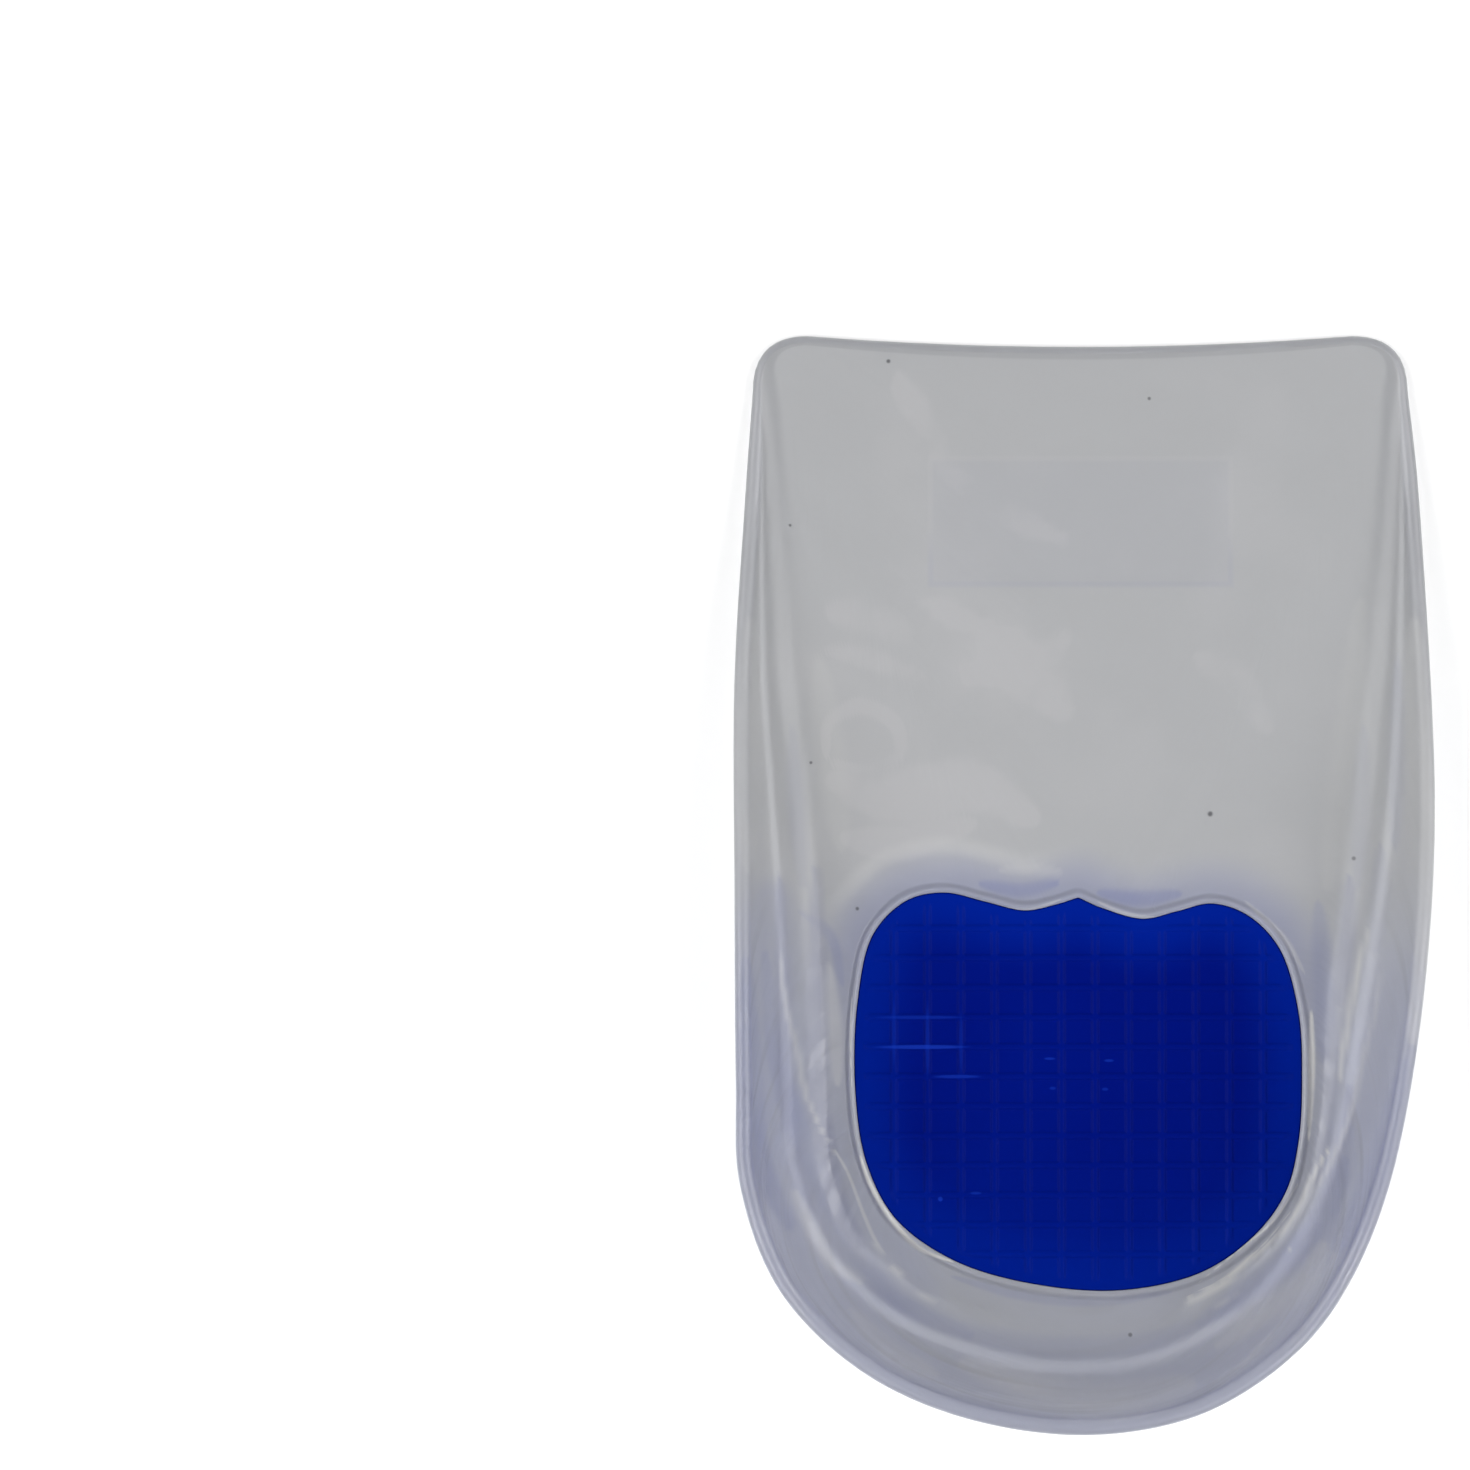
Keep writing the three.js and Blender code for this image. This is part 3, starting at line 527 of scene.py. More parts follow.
class CupForm:
    """The outlines and heights that the shell and the pad share, in metres."""

    def __init__(self, scene):
        self.shell = scene.heel_cup_shell
        self.pad = scene.heel_cup_pad
        self.panel = scene.heel_cup_panel
        self.pad_middle = np.array([
            self.pad.sideways, -self.shell.length / 2 + self.pad.to_heel + self.pad.length / 2])
        self.panel_middle = np.array([
            0, self.shell.length / 2 - self.panel.from_front - self.panel.length / 2])

    def rim_outline(self):
        """The cup's rim from above, anticlockwise from the front left corner."""
        shell = self.shell
        half = shell.front_width / 2
        front = shell.length / 2
        corner_start = front - shell.corner_reach
        corner_end = half - shell.corner_reach
        side = [(row["across"] * shell.width / 2, row["along"] * shell.length / 2) for row in RIM_RUN]
        run = spline([(-half, corner_start), *side, (half, corner_start)], 0)[:-1]
        points = np.vstack([
            run,
            bow((half, corner_start), (half, front), (corner_end, front)),
            bow((corner_end, front), (0, front - 2 * shell.edge_dip), (-corner_end, front), 80),
            bow((-corner_end, front), (-half, front), (-half, corner_start)),
        ])
        return points - (points.max(axis=0) + points.min(axis=0)) / 2

    def pad_outline(self):
        """The pad's outline, anticlockwise."""
        run = [(row["across"] * self.pad.width / 2, row["along"] * self.pad.length / 2)
               for row in [*PAD_RUN, PAD_RUN[0]]]
        return spline(run, 0.5)[:-1][::-1] + self.pad_middle

    def back_share(self, y):
        return 0.5 - y / self.shell.length

    def floor_height(self, plan):
        """Height of the shell's inside floor at points in plan."""
        shell = self.shell
        grown = section_value("floor", self.back_share(plan[:, 1]))
        thickness = shell.front_thickness + (shell.floor_thickness - shell.front_thickness) * grown
        reach = np.minimum(1, np.linalg.norm(plan - self.pad_middle, axis=1) / shell.dish_radius)
        return thickness - shell.dish * (1 - reach ** 2) ** 2

    def lip_line(self):
        """The foot of the lip round the pad, on the floor."""
        pad = self.pad_outline()
        return pad - inward_normals(pad) * (self.pad.side_gap + self.pad.bead_width)

    def wall_run_at(self, rim):
        """How far in from the rim the wall's foot lies, which stops short of the pad's lip."""
        run = self.shell.wall_run * section_value("run", self.back_share(rim[:, 1]))
        room = outline_distance(rim, self.lip_line()) - LIP_CLEARANCE
        if room.min() <= self.shell.rim_thickness:
            raise ValueError("The pad and its lip leave no room for the wall")
        return -FOOT_SOFTNESS * np.log(np.exp(-run / FOOT_SOFTNESS) + np.exp(-room / FOOT_SOFTNESS))

    def wall_rings(self, rim, normals):
        """Rings from the sole's edge up the outside, over the rim and down to the floor's edge."""
        shell = self.shell
        back = self.back_share(rim[:, 1])
        rise = section_value("rise", back)
        height = shell.front_thickness + (shell.heel_height - shell.front_thickness) * rise
        run = self.wall_run_at(rim)
        sole = shell.sole_inset * section_value("sole", back)
        floor = np.minimum(self.floor_height(rim + normals * run[:, None]), height)
        roundness = min(shell.rim_thickness, shell.front_thickness) / 2
        proud = smoothstep(height - floor, 0, shell.rim_thickness)

        def pair(inward, up):
            """Points of the section at every rim point: how far in from the rim and how high."""
            return np.stack([inward + 0 * height, up + 0 * height], axis=1)

        # up the outside: the curve leaves the sole flat and reaches the rim upright
        profile = [pair(sole, 0)]
        profile += bezier(pair(sole, 0), pair(0.3 * sole, 0), pair(0.05 * sole, 0.3 * height),
                          pair(0, height - roundness), WALL_STEPS)
        # over the rim: a quarter turn where it is no higher than the floor, nearly a half where it is
        across = roundness + (shell.rim_thickness / 2 - roundness) * proud
        last_angle = np.radians(90 - 80 * proud)
        for step in range(1, RIM_STEPS + 1):
            angle = math.pi + (last_angle - math.pi) * step / RIM_STEPS
            profile.append(pair(across * (1 + np.cos(angle)), height - roundness + roundness * np.sin(angle)))
        # down the inside, and flat on to the floor
        top = profile[-1]
        drop = top[:, 1] - floor
        reach = run - top[:, 0]
        profile += bezier(top, pair(top[:, 0] + 0.12 * reach, top[:, 1] - 0.5 * drop),
                          pair(run - 0.55 * reach, floor), pair(run, floor), WALL_STEPS)
        return [np.column_stack([rim + normals * point[:, :1], point[:, 1]]) for point in profile]


def swell(points, height):
    """Soft unevenness of moulded gel, in a broad and a fine size."""
    broad, fine = 9 * MM, 3.4 * MM
    return np.array([height * (noise.noise(Vector(p) / broad) + 0.3 * noise.noise(Vector(p) / fine))
                     for p in points])


def rounded_rectangle(middle, width, length, radius):
    """A dense rectangle with rounded corners, anticlockwise."""
    points = []
    for sign_x, sign_y, start in ((1, -1, -90), (1, 1, 0), (-1, 1, 90), (-1, -1, 180)):
        centre = (middle[0] + sign_x * (width / 2 - radius), middle[1] + sign_y * (length / 2 - radius))
        for angle in np.radians(np.linspace(start, start + 90, CORNER_STEPS)):
            points.append((centre[0] + radius * math.cos(angle), centre[1] + radius * math.sin(angle)))
    corners = np.array(points)
    lengths = outline_lengths(corners)
    return resample(corners, np.linspace(0, lengths[-1], PANEL_STATIONS, endpoint=False), lengths)


def skin(rings):
    """Points and faces of a closed skin through rings of equally many points, capped by a point at
    the middle of its first and last ring."""
    count = len(rings[0])
    points = np.vstack([*rings, rings[0].mean(axis=0), rings[-1].mean(axis=0)])
    first_cap, last_cap = len(points) - 2, len(points) - 1
    last_ring = (len(rings) - 1) * count
    faces = [(first_cap, (i + 1) % count, i) for i in range(count)]
    for k in range(len(rings) - 1):
        a, b = k * count, (k + 1) * count
        faces += [(a + i, a + (i + 1) % count, b + (i + 1) % count, b + i) for i in range(count)]
    faces += [(last_ring + i, last_ring + (i + 1) % count, last_cap) for i in range(count)]
    return points, faces


def add_piece(name, points, faces, materials, face_material=None, attributes=None, sharp=180):
    """A mesh object from points and faces, with its materials and point attributes, smooth shaded but
    for edges that turn by more than sharp, in degrees."""
    mesh = bpy.data.meshes.new(name)
    mesh.from_pydata([tuple(p) for p in points], [], [tuple(f) for f in faces])
    for material in materials:
        mesh.materials.append(material)
    mesh.polygons.foreach_set("use_smooth", [True] * len(mesh.polygons))
    if face_material is not None:
        mesh.polygons.foreach_set("material_index", face_material)
    for key, values in (attributes or {}).items():
        mesh.attributes.new(key, "FLOAT", "POINT").data.foreach_set("value", values)
    mesh.set_sharp_from_angle(angle=math.radians(sharp))
    mesh.update()
    piece = bpy.data.objects.new(name, mesh)
    bpy.context.scene.collection.objects.link(piece)
    return piece


class Value:
    """A shader socket that carries a number. Arithmetic on it adds Math nodes."""

    def __init__(self, finish, socket):
        self.finish = finish
        self.socket = socket

    def maths(self, operation, *values):
        sockets = dict(zip(("Value", "Value_001"), values))
        return self.finish.node("ShaderNodeMath", {"operation": operation}, sockets)

    def __add__(self, other):
        return self.maths("ADD", self, other)

    __radd__ = __add__

    def __mul__(self, other):
        return self.maths("MULTIPLY", self, other)

    __rmul__ = __mul__

    def __sub__(self, other):
        return self.maths("SUBTRACT", self, other)

    def __rsub__(self, other):
        return self.maths("SUBTRACT", other, self)

    def __truediv__(self, other):
        return self.maths("DIVIDE", self, other)

    def __rtruediv__(self, other):
        return self.maths("DIVIDE", other, self)

    def __pow__(self, other):
        return self.maths("POWER", self, other)

    def __rpow__(self, other):
        return self.maths("POWER", other, self)

    def size(self):
        """The value without its sign."""
        return self.maths("ABSOLUTE", self)

    def larger(self, other):
        return self.maths("MAXIMUM", self, other)

    def step(self, low, high):
        """0 below low, 1 above high and smooth between them; low may be the larger."""
        return self.finish.node(
            "ShaderNodeMapRange", {"interpolation_type": "SMOOTHSTEP"},
            {"Value": self, "From Min": low, "From Max": high})


class Finish:
    """The nodes of a material or of the surroundings, built round the one shader that they come with."""

    def __init__(self, owner, shader="BSDF_PRINCIPLED"):
        self.owner = owner
        self.owner.use_nodes = True
        self.tree = self.owner.node_tree
        self.shader = next(n for n in self.tree.nodes if n.type == shader)

    def put(self, socket, value):
        """Links a socket to a value, or sets it to a number or a colour."""
        if isinstance(value, Value):
            value = value.socket
        if isinstance(value, bpy.types.NodeSocket):
            self.tree.links.new(value, socket)
        elif socket.type == "RGBA":
            socket.default_value = (*value, 1)
        else:
            socket.default_value = value

    def node(self, kind, settings=None, sockets=None, output=0):
        """Adds a node: its settings are set first, then its sockets by identifier. Gives one output.
        A ramp's stops are pairs of a place and a colour."""
        made = self.tree.nodes.new(kind)
        for key, value in (settings or {}).items():
            if key == "stops":
                made.color_ramp.interpolation = "EASE"
                for element, (at, colour) in zip(made.color_ramp.elements, value):
                    element.position, element.color = at, (*colour, 1)
            else:
                setattr(made, key, value)
        for key, value in (sockets or {}).items():
            self.put(next(s for s in made.inputs if s.identifier == key), value)
        found = made.outputs[output] if isinstance(output, int) else next(
            s for s in made.outputs if s.identifier == output)
        return Value(self, found)

    def mix(self, first, second, share):
        """The first colour going over to the second as share goes from 0 to 1."""
        return self.node("ShaderNodeMix", {"data_type": "RGBA"},
                         {"Factor_Float": share, "A_Color": first, "B_Color": second}, "Result_Color")

    def attribute(self, name):
        return self.node("ShaderNodeAttribute", {"attribute_name": name}, {}, "Fac")

    def vector(self, x, y, z):
        return self.node("ShaderNodeCombineXYZ", {}, {"X": x, "Y": y, "Z": z})

    def point(self):
        """The point on the surface, in metres."""
        return self.node("ShaderNodeTexCoord", {}, {}, "Object")

    def parts(self, vector):
        """The x, y and z of a vector."""
        first = self.node("ShaderNodeSeparateXYZ", {}, {"Vector": vector})
        return [Value(self, socket) for socket in first.socket.node.outputs]

    def noise(self, vector, scale, detail):
        """Fractal noise about 0.5. The scale is in cycles for each unit of the vector."""
        return self.node("ShaderNodeTexNoise", {"noise_dimensions": "3D"},
                         {"Vector": vector, "Scale": scale, "Detail": detail}, "Fac")

    def set(self, **values):
        """Sets or links the shader's sockets; a name's underlines stand for spaces."""
        for key, value in values.items():
            name = key.replace("_", " ")
            self.put(next(s for s in self.shader.inputs if s.name == name), value)
        return self.owner


def gel_finish(colours, form):
    """Clear silicone gel: milky grey, painted blue near the pad, with painted highlights, reflections and
    shade, a soft glistening gloss and faint clouds.
    """
    finish = Finish(bpy.data.materials.new("clear_gel"))
    point = finish.point()
    x, y, _ = finish.parts(point)
    beyond = finish.attribute("pad_distance")
    up_wall = finish.attribute("up_wall")
    along = finish.attribute("along_rim")
    across = finish.attribute("across_wall")

    # noises that break up the marks, and streaks that run along the wall
    ragged = finish.noise(point, 170.0, 2.0) - 0.5
    torn = finish.noise(point, 115.0, 3.0) - 0.5
    # painted reflections: the drawn patches, with torn edges
    painted_reflection = (finish.attribute("painted_reflection") * (1.0 + 4.0 * torn)).step(0.12, 0.88)
    clouds = finish.noise(point, 85.0, 2.0).step(0.5, 0.7) * 0.35
    streaks = finish.noise(finish.vector(along * 30.0, across * 260.0, 0.0), 1.0, 2.0).step(0.48, 0.72)

    # milky patches and painted reflections, then painted shade on the side walls, the heel wall painted
    # lighter and bluer, and the painted blue light round the pad
    heel = y.step(*HEEL_RUN)
    wall = up_wall.step(0.05, 0.75)
    colour = finish.mix(colours.gel, colours.milky_cloud_and_highlight, painted_reflection.larger(clouds))
    # painted shade on the low side walls towards the front
    side = up_wall.step(0.0, 0.3) * y.step(*SIDE_RUN)
    colour = finish.mix(colour, colours.side, side * (0.8 - 0.4 * up_wall * y.step(*LOW_WALL_RUN)))
    # painted light: the heel wall lighter and bluer
    colour = finish.mix(colour, colours.heel_wall_light, heel * (0.35 + 0.65 * wall) * (1.0 - 0.45 * streaks))
    front = y.step(*FRONT_RUN)
    glow = beyond.step(6.0 * MM, 0.8 * MM) * (0.1 + 0.42 * front)
    colour = finish.mix(colour, colours.glow, glow)
    # a painted highlight: a thin light arc in the floor, round the front left of the pad
    arc = beyond.step(3.4 * MM, 4.6 * MM) * beyond.step(6.2 * MM, 4.9 * MM)
    arc = arc * y.step(-5 * MM, -1 * MM) * x.step(1 * MM, -9 * MM)
    colour = finish.mix(colour, colours.sheen, arc * (0.2 + 0.25 * ragged))

    # the drawn marks and the rim: painted blue shade, painted shade in bands and along the rim, and painted
    # highlights
    colour = finish.mix(colour, colours.deep, finish.attribute("deep") * (0.8 + ragged))
    colour = finish.mix(colour, colours.rim, finish.attribute("shade") * (1.0 + ragged))
    colour = finish.mix(colour, colours.rim, finish.attribute("rim") * (0.12 + 0.5 * heel))
    colour = finish.mix(colour, colours.sheen, finish.attribute("sheen") * (1.0 + ragged))

    # the panel in the sole: a faint tint, and an edge with a painted highlight above and painted shade below
    panel = form.panel
    panel_y = form.panel_middle[1]
    from_panel = (x.size() - panel.width / 2).larger((y - panel_y).size() - panel.length / 2)
    inside = from_panel.step(0.2 * MM, -0.2 * MM)
    edge = from_panel.size().step(0.45 * MM, 0.1 * MM)
    colour = finish.mix(colour, colours.deep, inside * 0.035)
    low_edge = y.step(panel_y, panel_y - 0.4 * panel.length)
    colour = finish.mix(colour, colours.milky_cloud_and_highlight, edge * (1.0 - low_edge) * 0.45)
    colour = finish.mix(colour, colours.deep, edge * low_edge * 0.09)

    for speck in SPECKS:
        radius = speck["radius"] * MM
        away = ((x - speck["x"] * MM) ** 2.0 + (y - speck["y"] * MM) ** 2.0) ** 0.5
        colour = finish.mix(colour, colours.speck, away.step(radius, 0.35 * radius) * 0.8)

    # a soft waviness, with folds that run along the heel wall
    flow = finish.noise(finish.vector(along * 45.0, across * 420.0, 0.0), 1.0, 2.0)
    waves = finish.noise(point, 150.0, 1.0) + flow * (0.5 + 2.5 * heel)
    bump = finish.node("ShaderNodeBump", {}, {"Height": waves, "Strength": 0.12, "Distance": 0.6 * MM})
    return finish.set(
        Base_Color=colour, Roughness=0.3, Coat_Roughness=0.12,
        Coat_Weight=(0.1 + 0.5 * heel) * (0.25 + 1.1 * streaks),
        Transmission_Weight=0.62, IOR=1.41, Normal=bump)


def pad_finish(colours):
    """Deep blue silicone, a little lighter at its edge, with painted highlights on its ribs, and a satin
    face.
    """
    finish = Finish(bpy.data.materials.new("blue_gel"))
    point = finish.point()
    x, y, _ = finish.parts(point)
    inside = finish.attribute("from_edge")
    rib = finish.attribute("rib")
    drift = finish.noise(point, 60.0, 2.0)
    lower = y.step(*LOWER_PAD_RUN)
    centre = inside.step(0.0, 7 * MM) * (0.7 + 0.5 * drift) * (1.0 - 0.45 * lower)
    colour = finish.mix(colours.pad_edge, colours.pad, centre)
    # a faint painted highlight on the ribs
    colour = finish.mix(colour, colours.pad_edge, rib * 0.06)
    for glint in PAD_GLINTS:
        across = (x - glint["x"] * MM) / (glint["half_x"] * MM)
        along = (y - glint["y"] * MM) / (glint["half_y"] * MM)
        away = across ** 2.0 + along ** 2.0
        colour = finish.mix(colour, colours.pad_glint, away.step(1.0, 0.2) * (0.5 * glint["share"]))
    grain = finish.noise(point, 2600.0, 2.0)
    bump = finish.node("ShaderNodeBump", {}, {"Height": grain, "Strength": 0.12, "Distance": 0.05 * MM})
    return finish.set(Base_Color=colour, Roughness=0.3 + 0.06 * drift,
                      Specular_IOR_Level=0.015, Normal=bump)


def bonded_finish(colours):
    """The pad's blue as it shows through the gel that it is bonded to."""
    finish = Finish(bpy.data.materials.new("bonded_blue"))
    colour = finish.mix(colours.pad, colours.pad_edge, finish.noise(finish.point(), 120.0, 2.0))
    return finish.set(Base_Color=colour, Roughness=0.6, Specular_IOR_Level=0.2)


class HEELCUP_OT_gel_shell(bpy.types.Operator):
    """Builds the clear gel shell in place of its plain solid"""
    bl_idname = "heel_cup.gel_shell"
    bl_label = "Gel shell"

    def execute(self, context):
        form = CupForm(context.scene)
        pad = form.pad
        rim_dense = form.rim_outline()
        pad_dense = form.pad_outline()
        normals = inward_normals(rim_dense)
        floor_edge = rim_dense + normals * form.wall_run_at(rim_dense)[:, None]
        partner = at_angles(pad_dense, form.pad_middle, angles_about(floor_edge, form.pad_middle))
        scale = [outline_lengths(line) for line in (rim_dense, partner)]
        blended = sum(lengths / lengths[-1] for lengths in scale) / 2
        stations = np.linspace(0, blended[-1], STATIONS, endpoint=False)
        rim = resample(rim_dense, stations, blended)
        along = np.interp(stations, blended, scale[0])

        rings = form.wall_rings(rim, inward_normals(rim))
        rim_from = WALL_STEPS
        wall_from = rim_from + 1 + RIM_STEPS
        floor_from = rings[-1][:, :2]
        pad_line = at_angles(pad_dense, form.pad_middle, angles_about(floor_from, form.pad_middle))
        pad_out = -inward_normals(pad_line)
        lip_foot = pad_line + pad_out * (pad.side_gap + pad.bead_width)
        for share in 1 - np.linspace(1, 0, FLOOR_RINGS + 1)[1:] ** FLOOR_CROWDING:
            plan = floor_from + (lip_foot - floor_from) * share
            rings.append(at_height(plan, form.floor_height(plan)))
        for share in np.linspace(0, 1, BEAD_RINGS + 1)[1:]:
            plan = pad_line + pad_out * (pad.side_gap + pad.bead_width * (1 - share))
            lift = pad.bead_height * (1 - math.cos(LIP_TURN * share)) / 2
            rings.append(at_height(plan, form.floor_height(plan) + lift))

        pocket_from = len(rings)
        edge = pad_line + pad_out * pad.side_gap
        top = form.floor_height(edge)
        if top.min() <= pad.gel_under:
            raise ValueError("The floor under the heel is too thin for the pad's pocket")
        for share in POCKET_WALL:
            rings.append(at_height(edge, top + (pad.gel_under - top) * share))
        for share in POCKET_FLOOR:
            rings.append(at_height(form.pad_middle + (edge - form.pad_middle) * share, pad.gel_under))

        sole_rings = self.sole_rings(form, rings[0])
        under = len(sole_rings)
        rim_from, wall_from, pocket_from = under + rim_from, under + wall_from, under + pocket_from
        rings = [*sole_rings, *rings]
        points, faces = skin(rings)

        moved = slice(wall_from * STATIONS, pocket_from * STATIONS)
        clear = smoothstep(outline_distance(points[moved], pad_line), *RIPPLE_FADE)
        points[moved, 2] += swell(points[moved], form.shell.ripple) * clear
        rows = np.repeat(np.arange(len(rings)), STATIONS)
        steps = np.linalg.norm(np.diff(points[:-2].reshape(len(rings), STATIONS, 3), axis=0), axis=2)
        across = np.vstack([np.zeros(STATIONS), np.cumsum(steps, axis=0)]).ravel()
        wall_share = np.clip(1 - np.abs(rows - wall_from) / WALL_STEPS, 0, 1)
        # the rim's share carries the painted shade along the rim
        rim_middle = wall_from - RIM_STEPS / 2
        fade = 3
        rim_share = smoothstep(np.abs(rows - rim_middle), RIM_STEPS / 2 + fade, RIM_STEPS / 2 - fade)
        inside = rows >= pocket_from
        distance = np.where(inside, 0, outline_distance(points[:-2], pad_dense))
        marked = (rows >= rim_from) & ~inside
        # marks painted into the gel's colour: highlights, blue shade, shade and reflections
        fields = {key: mark_field(points[:-2, :2], marks) * marked
                  for key, marks in (("sheen", SHEEN), ("deep", PAINTED_BLUE_SHADE), ("shade", SHADE), ("painted_reflection", PAINTED_REFLECTIONS))}

        def whole(values):
            """Adds the values of the two points that close the skin."""
            return np.concatenate([values, [values[0], values[-1]]])

        pocket_faces = np.zeros(len(faces), int)
        pocket_faces[STATIONS * pocket_from:] = 1
        colours = context.scene.heel_cup_colours
        piece = add_piece(
            "gel_shell_fine", points, faces, [gel_finish(colours, form), bonded_finish(colours)],
            pocket_faces, {
                "pad_distance": whole(distance),
                "up_wall": whole(wall_share),
                "along_rim": whole(np.tile(along, len(rings))),
                "across_wall": whole(across),
                "rim": whole(rim_share),
                **{key: whole(values) for key, values in fields.items()},
            }, sharp=75)
        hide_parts("gel_shell")
        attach(piece, "root")
        return {"FINISHED"}

    @staticmethod
    def sole_rings(form, sole_edge):
        """Rings from the middle of the sunk panel out over the sole, which is flat, to its edge."""
        panel, middle = form.panel, form.panel_middle
        outline = rounded_rectangle(middle, panel.width, panel.length, panel.corner)
        line = at_angles(outline, middle, angles_about(sole_edge, middle))
        out = -inward_normals(line)
        rings = [at_height(middle + (line - middle) * share, panel.depth) for share in PANEL_FLOOR]
        for row in PANEL_EDGE:
            rings.append(at_height(line + out * row["out"] * panel.depth, row["deep"] * panel.depth))
        start = rings[-1][:, :2]
        rings += [at_height(start + (sole_edge[:, :2] - start) * share, 0) for share in SOLE_RUN]
        return rings


def rib_lines(middle, span, pitch, width):
    """Grid lines across the ribs over a span: close together over each rib, wide apart between them."""
    count = math.ceil(span / pitch / 2) + 1
    offsets = np.concatenate([width * np.array(RIB_NEAR), pitch * np.array(RIB_BETWEEN)])
    crests = middle + (np.arange(-count, count) + 0.5) * pitch
    return np.unique((crests[:, None] + offsets[None, :]).ravel())


def rib_share(values, middle, pitch, width):
    """1 on top of a rib, 0 between ribs."""
    from_crest = np.abs((values - middle) / pitch - np.floor((values - middle) / pitch) - 0.5) * pitch
    return smoothstep(from_crest, 0.5 * width, 0.18 * width)


class HEELCUP_OT_heel_pad(bpy.types.Operator):
    """Builds the blue waffled heel pad in place of its plain solid"""
    bl_idname = "heel_cup.heel_pad"
    bl_label = "Heel pad"

    def execute(self, context):
        form = CupForm(context.scene)
        pad = form.pad
        dense = form.pad_outline()
        lengths = outline_lengths(dense)
        outline = resample(dense, np.linspace(0, lengths[-1], PAD_STATIONS, endpoint=False), lengths)
        inward = inward_normals(outline)
        radius = pad.edge_radius
        inner = outline + inward * radius

        xs = rib_lines(form.pad_middle[0], pad.width, pad.rib_pitch_across, pad.rib_width)
        ys = rib_lines(form.pad_middle[1], pad.length, pad.rib_pitch_along, pad.rib_width)
        grid = np.stack(np.meshgrid(xs, ys), axis=-1).reshape(-1, 2)
        reach = np.linalg.norm(at_angles(inner, form.pad_middle, angles_about(grid, form.pad_middle))
                               - form.pad_middle, axis=1)
        within = np.linalg.norm(grid - form.pad_middle, axis=1) < reach
        grid = grid[within & (outline_distance(grid, inner) > PAD_MARGIN)]
        top = np.vstack([inner, grid])
        flat = [Vector(p) for p in top / MM]
        count = len(inner)
        rim = [(i, (i + 1) % count) for i in range(count)]
        triangles = geometry.delaunay_2d_cdt(flat, rim, [], 1, 1e-6)[2]

        from_edge = outline_distance(top, outline)
        rib = self.ribs(form, top) * smoothstep(from_edge, *RELIEF_FADE)

        edge_height = form.floor_height(outline)
        bottom = pad.gel_under + pad.seat_gap
        if (edge_height - radius).min() <= bottom:
            raise ValueError("The floor under the heel is too thin for the pad")
        rings = []
        for turn in PAD_EDGE:
            angle = turn * math.pi / 2
            plan = inner - inward * radius * math.sin(angle)
            rings.append(at_height(plan, edge_height - radius * (1 - math.cos(angle))))
        for share in PAD_SIDE:
            rings.append(at_height(outline, bottom + (edge_height - radius - bottom) * share))
        rings.append(at_height(outline + inward * PAD_MARGIN, bottom))

        faces = list(triangles)
        upper = list(range(count))
        for k in range(len(rings)):
            ring = list(range(len(top) + k * count, len(top) + (k + 1) * count))
            faces += self.band(ring, upper)
            upper = ring
        faces.append(tuple(reversed(upper)))
        points = np.vstack([at_height(top, form.floor_height(top) + pad.rib_height * rib), *rings])
        extra = len(points) - len(top)
        colours = context.scene.heel_cup_colours
        piece = add_piece("heel_pad_fine", points, faces, [pad_finish(colours)], None, {
            "rib": np.concatenate([rib, np.zeros(extra)]),
            "from_edge": np.concatenate([from_edge, np.zeros(extra)]),
        }, sharp=60)
        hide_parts("heel_pad")
        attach(piece, "root")
        return {"FINISHED"}

    @staticmethod
    def ribs(form, plan):
        """1 on the ribs and 0 in the cells between them, with rounded inside corners."""
        pad = form.pad
        across = rib_share(plan[:, 0], form.pad_middle[0], pad.rib_pitch_across, pad.rib_width)
        along = rib_share(plan[:, 1], form.pad_middle[1], pad.rib_pitch_along, pad.rib_width)
        return 1 - (1 - across) * (1 - along)

    @staticmethod
    def band(low, high):
        """Faces between two rings, the first below the second, facing outwards."""
        count = len(low)
        return [(low[i], low[(i + 1) % count], high[(i + 1) % count], high[i]) for i in range(count)]


class HeelCupStage(bpy.types.PropertyGroup):
    """Places and strengths of the camera, the floor and the lights."""
    camera_height: length_prop("Camera height", "Height of the camera above the floor", 0.9)
    camera_x: place_prop("Camera X", "The camera's place across", -35.1 * MM)
    camera_y: place_prop("Camera Y", "The camera's place along", 14.4 * MM)
    view_width: length_prop("View width", "Width of the floor that the camera sees", 149.7 * MM)
    light_distance: length_prop("Light distance", "Distance of each lamp from the cup", 0.9)
    light_size: length_prop("Light size", "Side of each square lamp", 0.7)
    light_power: bpy.props.FloatProperty(
        name="Light power", description="Power of the strongest lamp", default=4.9, min=0, unit="POWER")
    sky_strength: bpy.props.FloatProperty(
        name="Sky strength", description="Brightness of the surroundings", default=1.0, min=0)
    floor_drop: length_prop("Floor drop", "Gap between the sole and the floor", 0.15 * MM)


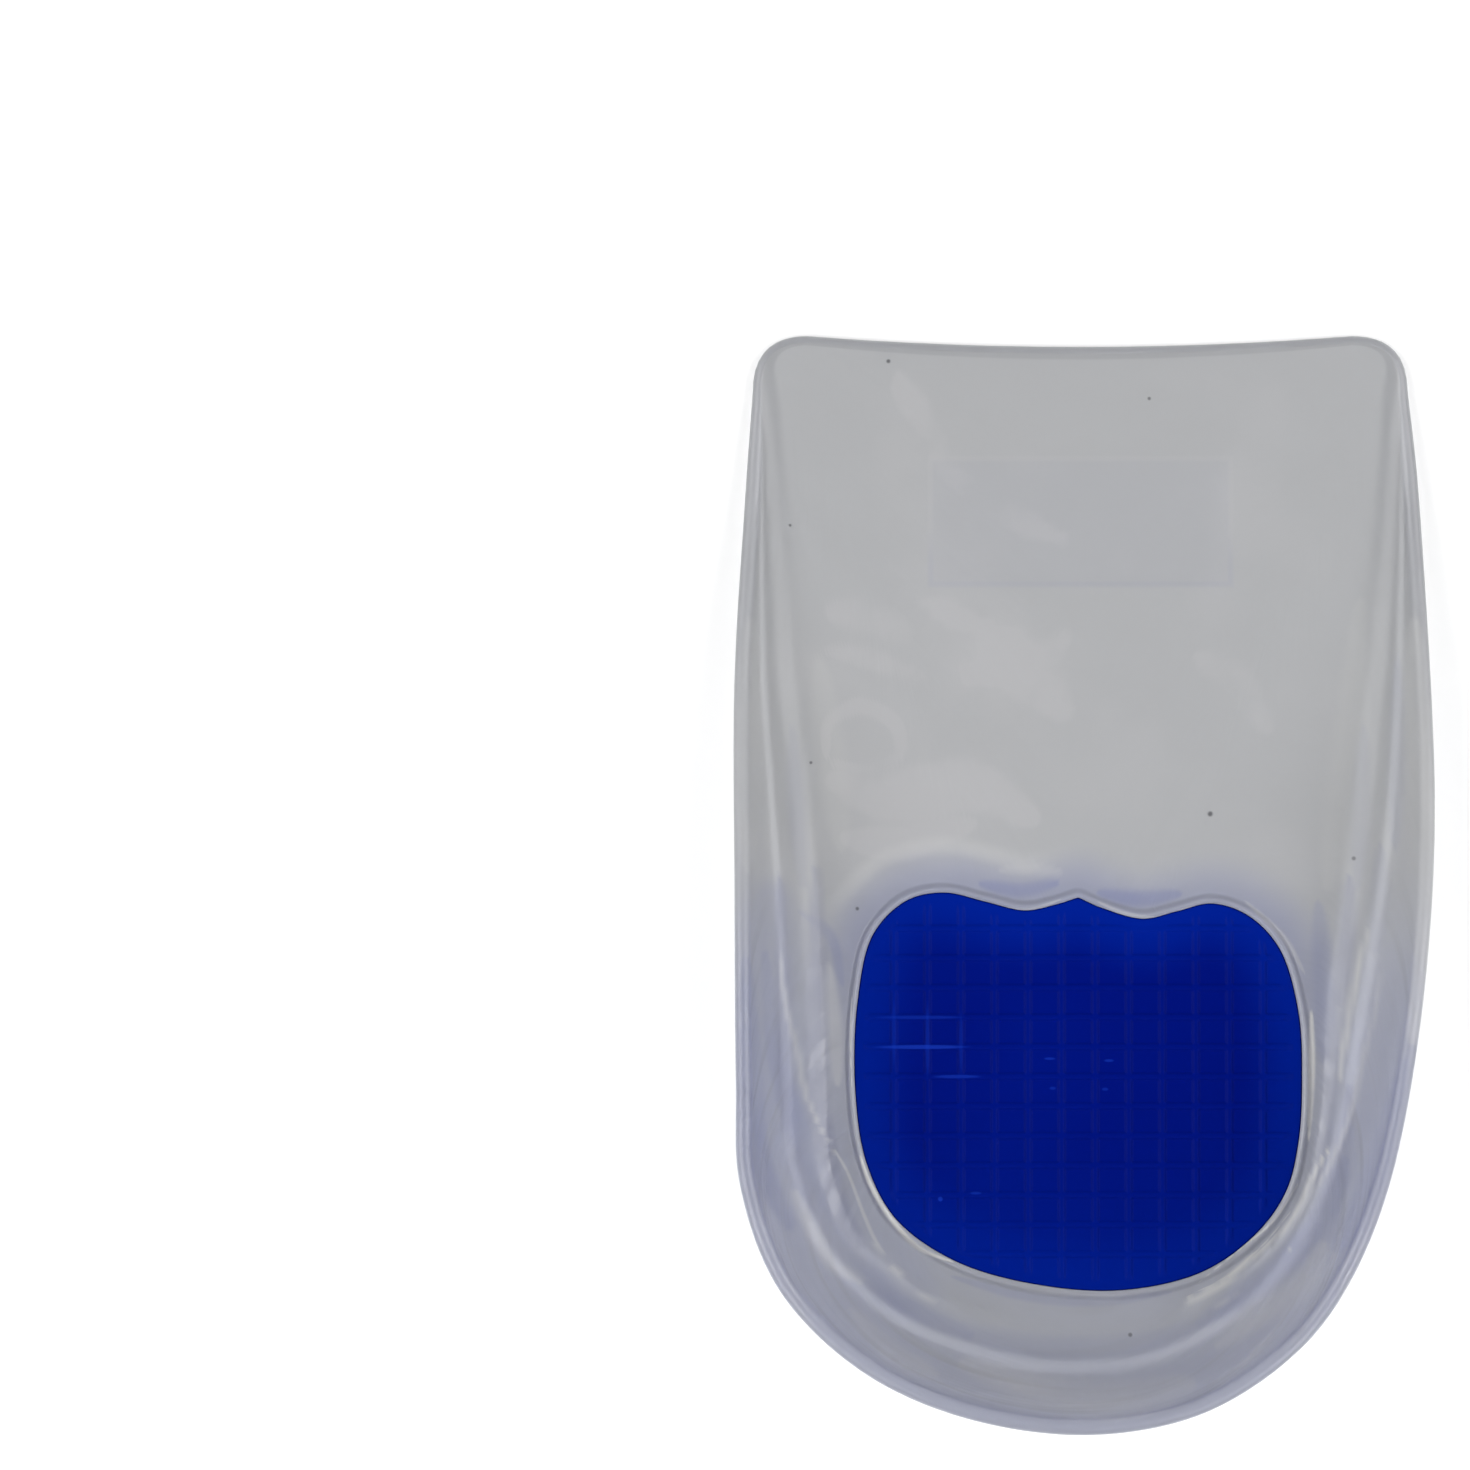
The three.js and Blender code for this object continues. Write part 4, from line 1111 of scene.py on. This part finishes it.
class HEELCUP_OT_stage(bpy.types.Operator):
    """Sets the floor, the lamps, the surroundings and the camera"""
    bl_idname = "heel_cup.stage"
    bl_label = "Stage"

    def execute(self, context):
        stage = context.scene.heel_cup_stage
        self.camera(context.scene, stage)
        self.floor(context.scene.heel_cup_colours, stage)
        self.surroundings(context.scene, stage)
        for row in LAMPS:
            azimuth, elevation = math.radians(row["azimuth"]), math.radians(row["elevation"])
            self.lamp(stage, row["name"], azimuth, elevation, row["share"])
        context.scene.view_settings.view_transform = "Standard"
        return {"FINISHED"}

    @staticmethod
    def camera(scene, stage):
        data = bpy.data.cameras.new("camera")
        data.sensor_width = 36
        data.lens = data.sensor_width * stage.camera_height / stage.view_width
        camera = bpy.data.objects.new("camera", data)
        camera.location = (stage.camera_x, stage.camera_y, stage.camera_height)
        scene.collection.objects.link(camera)
        scene.camera = camera

    @staticmethod
    def floor(colours, stage):
        finish = Finish(bpy.data.materials.new("pale_floor"))
        tone = finish.noise(finish.point(), 3.0, 1.0)
        darker = tuple(0.985 * channel for channel in colours.ground)
        material = finish.set(Base_Color=finish.mix(darker, tuple(colours.ground), tone), Roughness=0.7,
                              Specular_IOR_Level=0.15)
        corners = [(across * FLOOR_REACH, along * FLOOR_REACH, -stage.floor_drop)
                   for across, along in ((-1, -1), (1, -1), (1, 1), (-1, 1))]
        floor = add_piece("floor", corners, [(0, 1, 2, 3)], [material])

    @staticmethod
    def surroundings(scene, stage):
        """Pale surroundings, bright at the horizon and dim overhead, as in a room lit from its sides."""
        finish = Finish(bpy.data.worlds.new("surroundings"), "BACKGROUND")
        _, _, up = finish.parts(finish.node("ShaderNodeTexCoord", {}, {}, "Generated"))
        grey = finish.node("ShaderNodeValToRGB", {"stops": SKY_STOPS}, {"Fac": up}, "Color")
        scene.world = finish.set(Color=grey, Strength=stage.sky_strength)

    @staticmethod
    def lamp(stage, name, azimuth, elevation, strength):
        data = bpy.data.lights.new(name, "AREA")
        data.shape = "SQUARE"
        data.size = stage.light_size
        data.energy = stage.light_power * strength
        lamp = bpy.data.objects.new(name, data)
        towards = Vector((math.cos(azimuth) * math.cos(elevation), math.sin(azimuth) * math.cos(elevation),
                          math.sin(elevation)))
        lamp.location = towards * stage.light_distance
        lamp.rotation_mode = "QUATERNION"
        lamp.rotation_quaternion = towards.to_track_quat("Z", "Y")
        lamp.visible_camera = False
        bpy.context.scene.collection.objects.link(lamp)


class HEELCUP_PT_panel(bpy.types.Panel):
    """Lists the cup's pieces, its sizes and its colours"""
    bl_idname = "HEELCUP_PT_panel"
    bl_label = "Gel heel cup"
    bl_space_type = "VIEW_3D"
    bl_region_type = "UI"
    bl_category = "Heel Cup"

    def draw(self, context):
        scene = context.scene
        for group in (scene.heel_cup_shell, scene.heel_cup_pad, scene.heel_cup_panel,
                      scene.heel_cup_colours, scene.heel_cup_stage):
            box = self.layout.box()
            for key in group.__annotations__:
                box.prop(group, key)
        for operator in (HEELCUP_OT_gel_shell, HEELCUP_OT_heel_pad, HEELCUP_OT_stage):
            self.layout.operator(operator.bl_idname)


GROUPS = {
    "heel_cup_shell": HeelCupShellSizes,
    "heel_cup_pad": HeelCupPadSizes,
    "heel_cup_panel": HeelCupPanelSizes,
    "heel_cup_colours": HeelCupColours,
    "heel_cup_stage": HeelCupStage,
}
CLASSES = (*GROUPS.values(), HEELCUP_OT_gel_shell, HEELCUP_OT_heel_pad, HEELCUP_OT_stage, HEELCUP_PT_panel)


def register():
    for cls in CLASSES:
        bpy.utils.register_class(cls)
    for key, group in GROUPS.items():
        setattr(bpy.types.Scene, key, bpy.props.PointerProperty(type=group))


def unregister():
    for key in GROUPS:
        delattr(bpy.types.Scene, key)
    for cls in reversed(CLASSES):
        bpy.utils.unregister_class(cls)


def main():
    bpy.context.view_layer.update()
    register()
    bpy.ops.heel_cup.stage()
    bpy.ops.heel_cup.gel_shell()
    bpy.ops.heel_cup.heel_pad()


if __name__ == "__main__":
    main()
